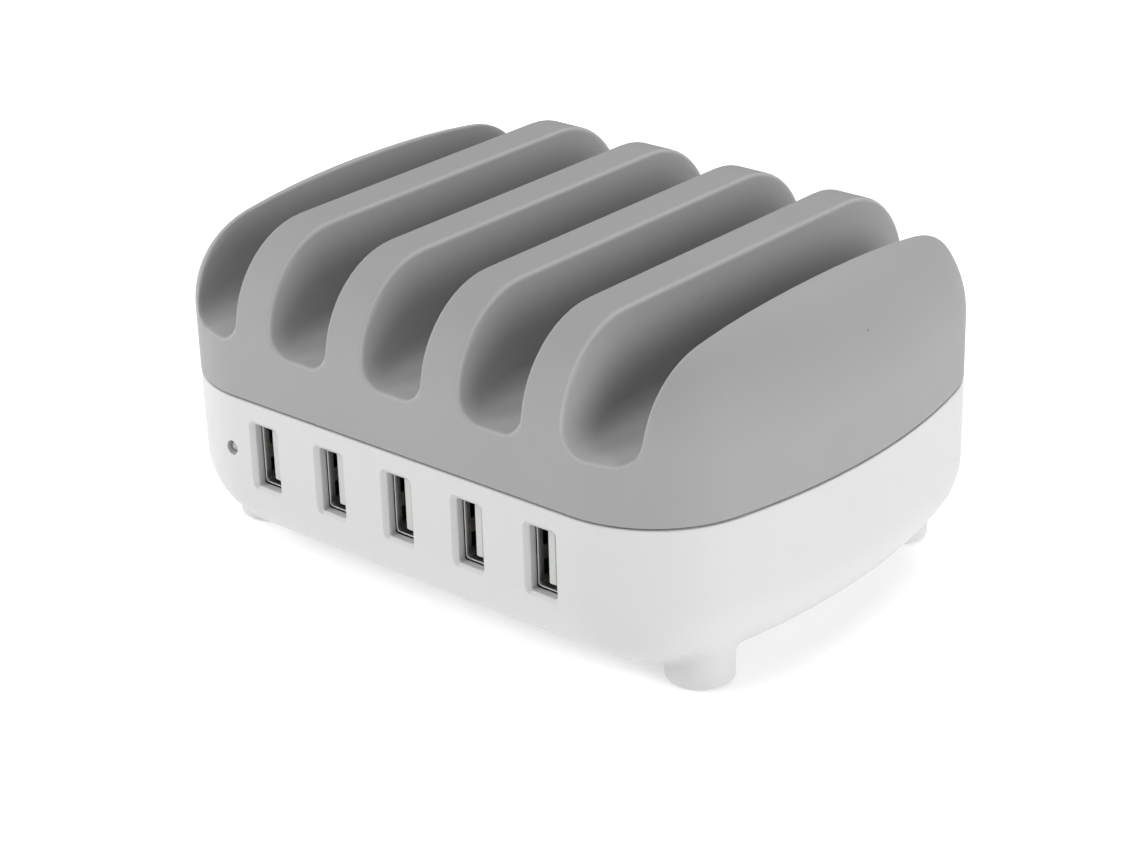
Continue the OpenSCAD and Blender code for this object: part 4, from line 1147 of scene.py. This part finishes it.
def tongue_blade(left, right, front, rear, middle, half_z):
    """Flat insulating tongue with rounded edges and a rounded tip."""
    centre, half_x, corner = (left + right) / 2, (right - left) / 2, 0.35
    rings = [
        oblong(half_x - inset, half_z - inset, corner - 0.6 * inset, front + back, middle, centre)
        for back, inset in ((0, 0.3), (0.04, 0.19), (0.12, 0.09), (0.3, 0), (rear - front, 0))
    ]
    return outward(make_mesh("socket_tongues", *skin(rings)))


def merge(things, name):
    """One mesh object from several."""
    work = bmesh.new()
    for thing in things:
        work.from_mesh(thing.data)
        if thing is not things[0]:
            bpy.data.objects.remove(thing)
    work.to_mesh(things[0].data)
    work.free()
    things[0].name = name
    return things[0]


def unit_box(h, node):
    """Box of the first socket's node, moved to the middle of the row."""
    low, high = np.array(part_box(node)) / MM
    shift = (h.port_count - 1) / 2 * h.port_pitch
    low[0] += shift
    high[0] += shift
    return low, high


def numbered(stem, h):
    return [f"{stem}_{i + 1}" for i in range(h.port_count)]


def make_shells(h):
    low, high = unit_box(h, "usb_shell_1")
    front, middle, half_x = low[1], (low[2] + high[2]) / 2, (high[0] - low[0]) / 2
    shell = socket_shell(low, high)
    fingers = []
    for up in (-1, 1):
        z = middle + up * SPRING_PITCH / 2
        window = slab(
            "spring_window",
            (-half_x - OVER, front + SPRING_FRONT, z - SPRING_WIDTH / 2),
            (half_x + OVER, front + SPRING_FRONT + SPRING_LENGTH, z + SPRING_WIDTH / 2),
        )
        combine(shell, window, "DIFFERENCE")
        fingers += [spring_finger(side, half_x - 0.02, front, z) for side in (-1, 1)]
    shells = merge([shell, *fingers], "socket_shells")
    soften(shells, 0.04, segments=1, angle=40)
    row_of(shells, h, finish_for("socket_shell"))
    piece(shells, "socket_shell", *numbered("usb_shell", h))


def make_tongues(h, colours):
    (_, front, shell_low), (_, _, shell_high) = unit_box(h, "usb_shell_1")
    low, high = unit_box(h, "usb_tongue_1")
    middle = (shell_low + shell_high) / 2
    face = unit_box(h, "usb_contacts_1")[1][0]
    block_front = high[1] - BLOCK_LENGTH
    left, right = face - TONGUE_LEFT, face + TONGUE_RIGHT
    tongue = tongue_blade(
        left, right, front + TONGUE_SETBACK, block_front + 0.5, middle + TONGUE_RAISE, TONGUE_HALF_HEIGHT
    )
    combine(tongue, slab("block", (low[0], block_front, low[2]), tuple(high)), "UNION")
    for up in CONTACT_HEIGHTS:
        groove = slab(
            "groove",
            (face - 0.3, front + GROOVE_SETBACK, middle + up - GROOVE_HALF_WIDTH),
            (face + GROOVE_DEPTH, high[1] + OVER, middle + up + GROOVE_HALF_WIDTH),
        )
        combine(tongue, groove, "DIFFERENCE")
    soften(tongue, 0.08, segments=1, angle=40)
    row_of(tongue, h, finish("Tongue moulding", tuple(colours.tongue), gloss=0.4, grain=0.2, depth=0.006))
    piece(tongue, "socket_plastic", *numbered("usb_tongue", h))


def make_contacts(h):
    (_, _, shell_low), (_, _, shell_high) = unit_box(h, "usb_shell_1")
    middle, rear = (shell_low + shell_high) / 2, unit_box(h, "usb_tongue_1")[1][1]
    low, high = unit_box(h, "usb_contacts_1")
    face, tip, foot = high[0], low[1], low[2]
    strips = []
    for k, up in enumerate(CONTACT_HEIGHTS):
        z, tail = middle + up, rear + k * LEG_STEP
        low_z, high_z = z - CONTACT_HALF_WIDTH, z + CONTACT_HALF_WIDTH
        rings = []
        # Each strip bends away from the tongue at its tip
        for y, bend in ((tip, 0.12), (tip + 0.35, -0.08), (tip + 1.6, -0.1), (tip + 4.5, 0.0), (tail, 0.0)):
            near, far = face + bend, face + bend + CONTACT_SHEET
            rings.append([(near, y, low_z), (near, y, high_z), (far, y, high_z), (far, y, low_z)])
        strips.append(outward(make_mesh("strip", *skin(rings))))
        strips.append(slab("leg", (face, tail, foot), (face + CONTACT_SHEET, tail + LEG_WIDTH, high_z)))
    contacts = merge(strips, "socket_contacts")
    soften(contacts, 0.03, segments=1, angle=40)
    row_of(contacts, h, finish_for("contact_metal"))
    piece(contacts, "contact_metal", *numbered("usb_contacts", h))


# Lamp, feet, inlet and inner parts


def make_lamp(colours):
    low, high = np.array(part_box("status_lamp")) / MM
    radius, edge, flange, depth = 1.45, 0.08, (high[0] - low[0]) / 2, high[1] - low[1]
    profile = [(0, depth)]
    for t in np.radians([80, 66, 52, 38, 24, 12, 0]):
        profile.append((radius * math.cos(t), depth - radius + radius * math.sin(t)))
    profile += [(radius, 1.15), (radius + 0.12, 1.0), (flange - edge, 1.0), (flange, 0.9), (flange, edge)]
    profile += [(flange - edge, 0), (0, 0)]
    material = finish("Frosted lens", tuple(colours.lamp), gloss=0.6, grain=0.25, depth=0.003)
    lens = lathe("lamp_lens", profile, material)
    lay_forward(lens, ((low[0] + high[0]) / 2, high[1], (low[2] + high[2]) / 2))
    lens.data.shade_smooth()
    piece(lens, "lamp_lens", "status_lamp")


def make_pads(h, colours):
    edge, radius, top = 0.35, h.pad_radius, h.pad_height
    profile = [(0, 0.12), (1.2, 0.12), (1.6, 0.0), (radius - edge, 0.0)]
    corner = np.radians([22, 45, 68, 90])
    profile += [(radius - edge * (1 - math.sin(t)), edge * (1 - math.cos(t))) for t in corner]
    profile += [(radius, top), (0, top)]
    rubber = finish("Foot rubber", tuple(colours.rubber), gloss=0.72, grain=0.22, depth=0.02, contrast=0.2)
    pads = at_feet(lathe("rubber_pads", profile), h, rubber)
    soften(pads, 0.05, segments=1)
    piece(pads, "pad_rubber", "foot_pads")


def softened_copy(node, name, slot_name, width_mm, segments=2):
    """A copy of a CAD node with its loose triangles merged and its edges rounded."""
    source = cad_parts[node]
    thing = bpy.data.objects.new(name, source.data.copy())
    bpy.context.collection.objects.link(thing)
    work = bmesh.new()
    work.from_mesh(thing.data)
    bmesh.ops.remove_doubles(work, verts=work.verts, dist=0.002 * MM)
    bmesh.ops.dissolve_limit(work, angle_limit=math.radians(1), verts=work.verts, edges=work.edges)
    work.to_mesh(thing.data)
    work.free()
    thing.data.materials.clear()
    thing.data.materials.append(finish_for(slot_name))
    soften(thing, width_mm, segments)
    return piece(thing, slot_name, node)


INNER_PARTS = {
    "inlet_body": ("black_moulding", 0.25),
    "inlet_pins": ("plated_wire", 0.1),
    "housing_screws": ("screw_steel", 0.12),
    "board_screws": ("screw_steel", 0.1),
    "lamp_leads": ("plated_wire", 0.05),
    "insulating_sheet": ("insulating_film", 0.05),
    "main_board": ("board_laminate", 0.1),
    "transformer_core_upper": ("ferrite", 0.4),
    "transformer_core_lower": ("ferrite", 0.4),
    "transformer_bobbin": ("black_moulding", 0.15),
    "transformer_winding": ("winding_tape", 0.6),
    "bulk_capacitor_1": ("capacitor_sleeve", 0.5),
    "bulk_capacitor_2": ("capacitor_sleeve", 0.5),
    "output_capacitor_1": ("capacitor_sleeve", 0.4),
    "output_capacitor_2": ("capacitor_sleeve", 0.4),
    "output_capacitor_3": ("capacitor_sleeve", 0.4),
    "interference_capacitor": ("yellow_case", 0.4),
    "choke_core": ("ferrite", 0.5),
    "choke_wire_left": ("enamelled_wire", 0.3),
    "choke_wire_right": ("enamelled_wire", 0.3),
    "fuse": ("fuse_ceramic", 0.3),
    "thermistor": ("thermistor_coat", 0.8),
    "safety_capacitor": ("blue_coat", 0.8),
    "bridge_rectifier": ("black_moulding", 0.3),
    "optocoupler": ("optocoupler_case", 0.25),
    "primary_heat_sink": ("sink_aluminium", 0.15),
    "switch_transistor": ("black_moulding", 0.15),
    "output_heat_sink": ("sink_aluminium", 0.15),
    "output_rectifier": ("black_moulding", 0.15),
    "controller_chips": ("black_moulding", 0.12),
}


def make_inner_parts():
    for node, (slot_name, width) in INNER_PARTS.items():
        softened_copy(node, f"{node}_finished", slot_name, width)


# Stage

# Name, place in metres and power in watts of each round softbox, fitted to the tones of the photograph
SOFTBOXES = [
    ("right_softbox", (1.2, 0.0, 0.45), 8.3),
    ("front_softbox", (-0.8, -0.9, 0.6), 8.0),
    ("left_softbox", (-1.2, 0.0, 0.6), 3.5),
    ("high_front_softbox", (0.0, -0.8, 1.0), 3.0),
    ("high_rear_softbox", (0.0, 0.8, 1.0), 7.8),
]
SOFTBOX_SIZE = 0.8
SOFTBOX_AIM = (0.0, 0.0, 0.03)
SKY_STRENGTH = 0.1
# Half width of the floor, in metres
FLOOR_REACH = 8.0
# Camera fitted to the photograph: angles in degrees, offsets in millimetres, focal length in its pixels
CAMERA_HEADING, CAMERA_ELEVATION, CAMERA_ROLL = 41.3171, 24.6231, -1.67166
CAMERA_RIGHT, CAMERA_UP, CAMERA_DISTANCE, CAMERA_GROUND = -2.524, 16.637, 591.785, 5.5
FOCAL_PIXELS = 2730.9


def make_floor(colours):
    reach = FLOOR_REACH / MM
    corners = [(-reach, -reach, 0), (reach, -reach, 0), (reach, reach, 0), (-reach, reach, 0)]
    material = finish(
        "Studio floor", tuple(colours.floor), gloss=0.7, grain=0.8, depth=0.002, contrast=0.004, glow=0.3
    )
    floor = make_mesh("studio_floor", corners, [(0, 1, 2, 3)], material)


def make_camera(scene):
    heading, elevation = math.radians(CAMERA_HEADING), math.radians(CAMERA_ELEVATION)
    roll, across = math.radians(CAMERA_ROLL), math.cos(elevation)
    back = Vector((math.sin(heading) * across, -math.cos(heading) * across, math.sin(elevation)))
    level = Vector((math.cos(heading), math.sin(heading), 0.0))
    above = back.cross(level)
    right = level * math.cos(roll) + above * math.sin(roll)
    up = above * math.cos(roll) - level * math.sin(roll)
    place = right * CAMERA_RIGHT + up * CAMERA_UP + back * CAMERA_DISTANCE + Vector((0, 0, CAMERA_GROUND))
    camera = bpy.data.objects.new("photo_camera", bpy.data.cameras.new("photo_camera"))
    bpy.context.collection.objects.link(camera)
    camera.matrix_world = Matrix.Translation(place * MM) @ Matrix((right, up, back)).transposed().to_4x4()
    camera.data.sensor_width = SENSOR_WIDTH
    camera.data.lens = FOCAL_PIXELS * SENSOR_WIDTH / IMAGE_WIDTH
    camera.data.clip_start = 0.01
    scene.camera = camera


def make_stage(colours):
    scene = bpy.context.scene
    make_floor(colours)
    world = bpy.data.worlds.new("Studio")
    world.use_nodes = True
    sky = world.node_tree.nodes["Background"]
    sky.inputs["Color"].default_value = (1.0, 1.0, 1.0, 1.0)
    sky.inputs["Strength"].default_value = SKY_STRENGTH
    scene.world = world
    for name, place, power in SOFTBOXES:
        softbox(name, place, power)
    make_camera(scene)
    scene.view_settings.view_transform = "Standard"


def softbox(name, place, power):
    light = bpy.data.lights.new(name, "AREA")
    light.shape = "DISK"
    light.size = SOFTBOX_SIZE
    light.energy = power
    thing = bpy.data.objects.new(name, light)
    bpy.context.collection.objects.link(thing)
    thing.location = place
    thing.rotation_euler = (Vector(SOFTBOX_AIM) - Vector(place)).to_track_quat("-Z", "Y").to_euler()
    thing.visible_camera = False


# Operators


def housing(context):
    return Housing(context.scene.station_housing, context.scene.station_fittings)


class STATION_OT_stage(bpy.types.Operator):
    """Makes the floor, the soft light and the camera at the photograph's view"""

    bl_idname = "station.stage"
    bl_label = "Studio"

    def execute(self, context):
        make_stage(context.scene.station_finish)
        return {"FINISHED"}


class STATION_OT_cover(bpy.types.Operator):
    """Makes the slotted cover and its screw posts"""

    bl_idname = "station.cover"
    bl_label = "Slotted cover"

    def execute(self, context):
        make_cover(housing(context), context.scene.station_finish)
        return {"FINISHED"}


class STATION_OT_base(bpy.types.Operator):
    """Makes the base with its feet, windows, lamp hole and inlet opening"""

    bl_idname = "station.base"
    bl_label = "Base"

    def execute(self, context):
        make_base(housing(context), context.scene.station_finish)
        return {"FINISHED"}


class STATION_OT_sockets(bpy.types.Operator):
    """Makes the sockets' shells, tongues and contacts"""

    bl_idname = "station.sockets"
    bl_label = "Sockets"

    def execute(self, context):
        make_shells(housing(context))
        make_tongues(housing(context), context.scene.station_finish)
        make_contacts(housing(context))
        return {"FINISHED"}


class STATION_OT_fittings(bpy.types.Operator):
    """Makes the status lamp and the rubber pads"""

    bl_idname = "station.fittings"
    bl_label = "Lamp and pads"

    def execute(self, context):
        make_lamp(context.scene.station_finish)
        make_pads(housing(context), context.scene.station_finish)
        return {"FINISHED"}


class STATION_OT_inner_parts(bpy.types.Operator):
    """Finishes the inlet, the screws, the circuit board and what stands on it"""

    bl_idname = "station.inner_parts"
    bl_label = "Inlet and inner parts"

    def execute(self, context):
        make_inner_parts()
        return {"FINISHED"}


OPERATORS = (
    STATION_OT_stage,
    STATION_OT_cover,
    STATION_OT_base,
    STATION_OT_sockets,
    STATION_OT_fittings,
    STATION_OT_inner_parts,
)


class STATION_PT_panel(bpy.types.Panel):
    """Lists the steps that build the charging station"""

    bl_idname = "STATION_PT_panel"
    bl_label = "Charging station"
    bl_space_type = "VIEW_3D"
    bl_region_type = "UI"
    bl_category = "Station"

    def draw(self, context):
        for operator in OPERATORS:
            self.layout.operator(operator.bl_idname)
        scene = context.scene
        for group in (scene.station_housing, scene.station_fittings, scene.station_finish):
            column = self.layout.column(align=True)
            for name in group.__annotations__:
                column.prop(group, name)


CLASSES = (StationHousing, StationFittings, StationFinish, *OPERATORS, STATION_PT_panel)


def register():
    for cls in CLASSES:
        bpy.utils.register_class(cls)
    bpy.types.Scene.station_housing = bpy.props.PointerProperty(type=StationHousing)
    bpy.types.Scene.station_fittings = bpy.props.PointerProperty(type=StationFittings)
    bpy.types.Scene.station_finish = bpy.props.PointerProperty(type=StationFinish)


def unregister():
    del bpy.types.Scene.station_finish
    del bpy.types.Scene.station_fittings
    del bpy.types.Scene.station_housing
    for cls in reversed(CLASSES):
        bpy.utils.unregister_class(cls)


def main():
    register()
    for operator in OPERATORS:
        _, name = operator.bl_idname.split(".")
        getattr(bpy.ops.station, name)()


if __name__ == "__main__":
    main()
